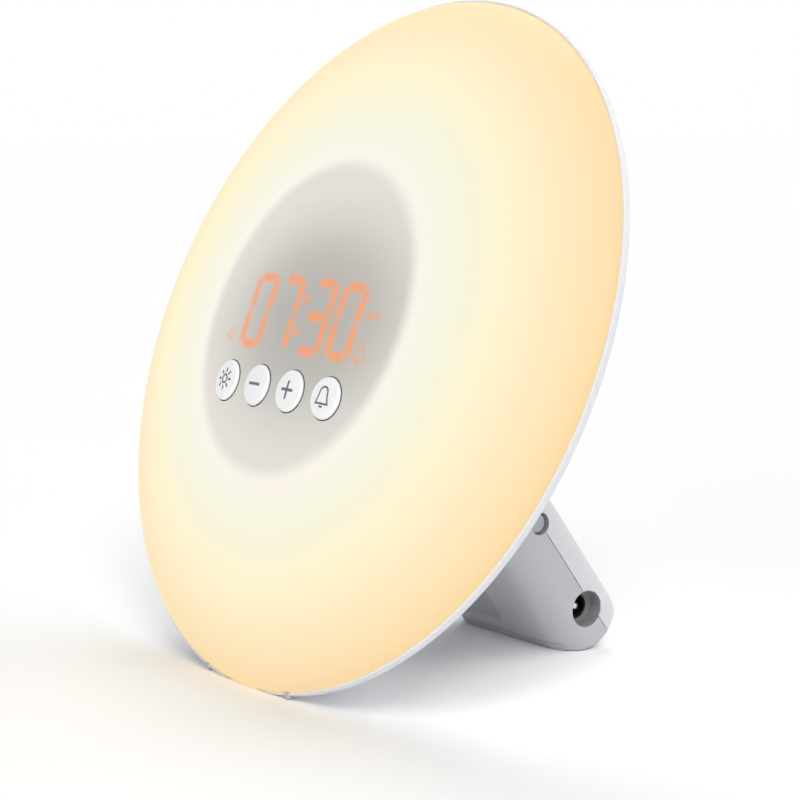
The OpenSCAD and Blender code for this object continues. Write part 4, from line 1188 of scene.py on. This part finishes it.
def makeSideKey(name, node, body, way):
    # dished face with a rounded rim
    face, inner, r = legSide - sideKey["sunk"], legSide - sideKey["inner"], sideKey["cap"] / 2
    stem = sideKey["stem"]
    profile = [(r * 0.72 * k / 6, face - 0.5 + 0.34 * (k / 6) ** 2) for k in range(7)]
    profile += arcPoints(r - 0.42, face - 0.42, 0.42, 110, 0, 8)
    profile += [(r, inner - 0.1), (r + 0.9, inner - 0.1), (r + 0.9, inner - 0.9)]
    profile += [(stem, inner - 0.9), (stem, inner - 1.5), (0, inner - 1.5)]
    cap = spun(name, profile, 64, acrossLeg(sideKey["s"], leg["seam"], way), legShadedGrey, 32)
    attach(cap, body)
    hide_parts(node)


makeSideKey("sideKeyRight", "side_button_right", "right_side_button", 1)
makeSideKey("sideKeyLeft", "side_button_left", "left_side_button", -1)
print("inlet and side keys made")


def makeLegScrews():
    # pan heads with a cross recess, sunk in the rear cover
    low = legHalf - legScrews["sunk"]
    profile = [(1.8 * k / 4, low + 1.6 - 0.12 * (k / 4) ** 2) for k in range(5)]
    profile += arcPoints(1.8, low + 0.9, 0.6, 80, 0, 5)
    profile += [(2.4, low), (1.3, low), (1.3, low - 14), (0, low - 15)]
    spots = [(x, s) for x in (-legScrews["x"], legScrews["x"]) for s in legScrews["s"]]
    for i, spot in enumerate(spots):
        place = outOfLeg(*spot)
        screw = spun("legScrew" + str(i + 1), profile, 40, place, screwSteel)
        for turn in (20, 110):
            c, n = cos(radians(turn)), sin(radians(turn))
            slot = []
            for pz, w, length in ((low + 0.7, 0.12, 0.6), (low + 2, 0.2, 1.35)):
                corners = ((-length, -w), (length, -w), (length, w), (-length, w))
                slot.append([(u * c - v * n, u * n + v * c, pz) for u, v in corners])
            carve(screw, [stacked(place, slot)])
        smooth(screw, 30)
        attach(screw, "root")
        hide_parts("leg_screws")


makeLegScrews()
print("leg screws made")

studio = {
    "world": 0.14,
    "floorSize": 12.0,
    "floorLift": 0.02,
    "floorTone": (252, 252, 252),
    "skyLamp": {"from": (0.242, 0.664, 0.707), "strength": 1.16, "spread": 60},
    "sideLamp": {"from": (0.612, -0.354, 0.707), "strength": 1.48, "spread": 30},
    "leftLamp": {"from": (-0.5, 0.35, 0.79), "strength": 0.8, "spread": 30},
    "frontLamp": {"from": (0.2, -0.95, 0.25), "strength": 0.68, "spread": 40},
    "glow": {"size": 0.15, "power": 0.014, "tone": (255, 170, 70)},
    "lens": 101.1,
    "eye": (0.477293, -0.351461, 0.14932),
    "turn": (82.347, 0, 53.718),
}


def seenDirectly(tree):
    # 1 for what the camera, a gloss or a glass sees, 0 for the light on the object
    path = addNode(tree, "LightPath")
    seen = path.outputs["Is Camera Ray"]
    for ray in ("Is Glossy Ray", "Is Transmission Ray"):
        both = addNode(tree, "Math", operation="MAXIMUM")
        plug(seen, both, 0)
        plug(path.outputs[ray], both, 1)
        seen = both.outputs[0]
    return seen


def makeFloor():
    half, low = studio["floorSize"] / 2, -0.00002
    corners = [(x * half, y * half, low) for x, y in ((-1, -1), (1, -1), (1, 1), (-1, 1))]
    paint, tree, shader, where = newPaint("floorWhite")
    tones = [(at, *(v + more for v in studio["floorTone"])) for at, more in ((0.3, 0), (0.7, 2))]
    colour = ramp(tree, noise(tree, where, scale=3.0, detail=2.0), tones)
    plug(colour, shader, "Base Color")
    setIn(shader, Roughness=0.8, Specular_IOR_Level=0.0, Emission_Color=(1, 1, 1, 1))
    lift = addNode(tree, "Math", operation="MULTIPLY")
    plug(seenDirectly(tree), lift, 0)
    lift.inputs[1].default_value = studio["floorLift"]
    plug(lift.outputs[0], shader, "Emission Strength")
    piece = newPiece("floor", corners, [[0, 1, 2, 3]], paint)


def makeWorld():
    world = bpy.data.worlds.new("studioWorld")
    bpy.context.scene.world = world
    world.use_nodes = True
    tree = world.node_tree
    back = setIn(tree.nodes["Background"], Color=(1, 1, 1, 1))
    level = setIn(addNode(tree, "MapRange"), To_Min=studio["world"], To_Max=1.0)
    plug(seenDirectly(tree), level, "Value")
    plug(level.outputs["Result"], back, "Strength")


def makeSun(name):
    values = studio[name]
    lamp = bpy.data.lights.new(name, "SUN")
    lamp.energy = values["strength"]
    lamp.angle = radians(values["spread"])
    addObject(name, lamp).rotation_euler = Vector(values["from"]).to_track_quat("Z", "Y").to_euler()


def makeGlow():
    # the warm light that the disc sheds on the floor in front of it
    values = studio["glow"]
    lamp = bpy.data.lights.new("discGlow", "AREA")
    lamp.shape = "DISK"
    lamp.size = values["size"]
    lamp.energy = values["power"]
    lamp.color = tone(*values["tone"])[:3]
    holder = addObject("discGlow", lamp)
    at, ahead = toDisc([(0, 0, disc["domeRise"] + 4), (0, 0, disc["domeRise"] + 20)])
    holder.location = at
    holder.rotation_euler = (ahead - at).to_track_quat("-Z", "Y").to_euler()
    holder.visible_camera = False


def makeCamera():
    camera = bpy.data.cameras.new("camera")
    camera.lens = studio["lens"]
    camera.sensor_width = 36
    camera.clip_start = 0.01
    holder = addObject("camera", camera)
    holder.location = studio["eye"]
    holder.rotation_euler = [radians(v) for v in studio["turn"]]
    bpy.context.scene.camera = holder


makeFloor()
makeWorld()
for name in ("skyLamp", "sideLamp", "leftLamp", "frontLamp"):
    makeSun(name)
makeGlow()
makeCamera()
bpy.context.scene.view_settings.view_transform = "Standard"
print("studio set")
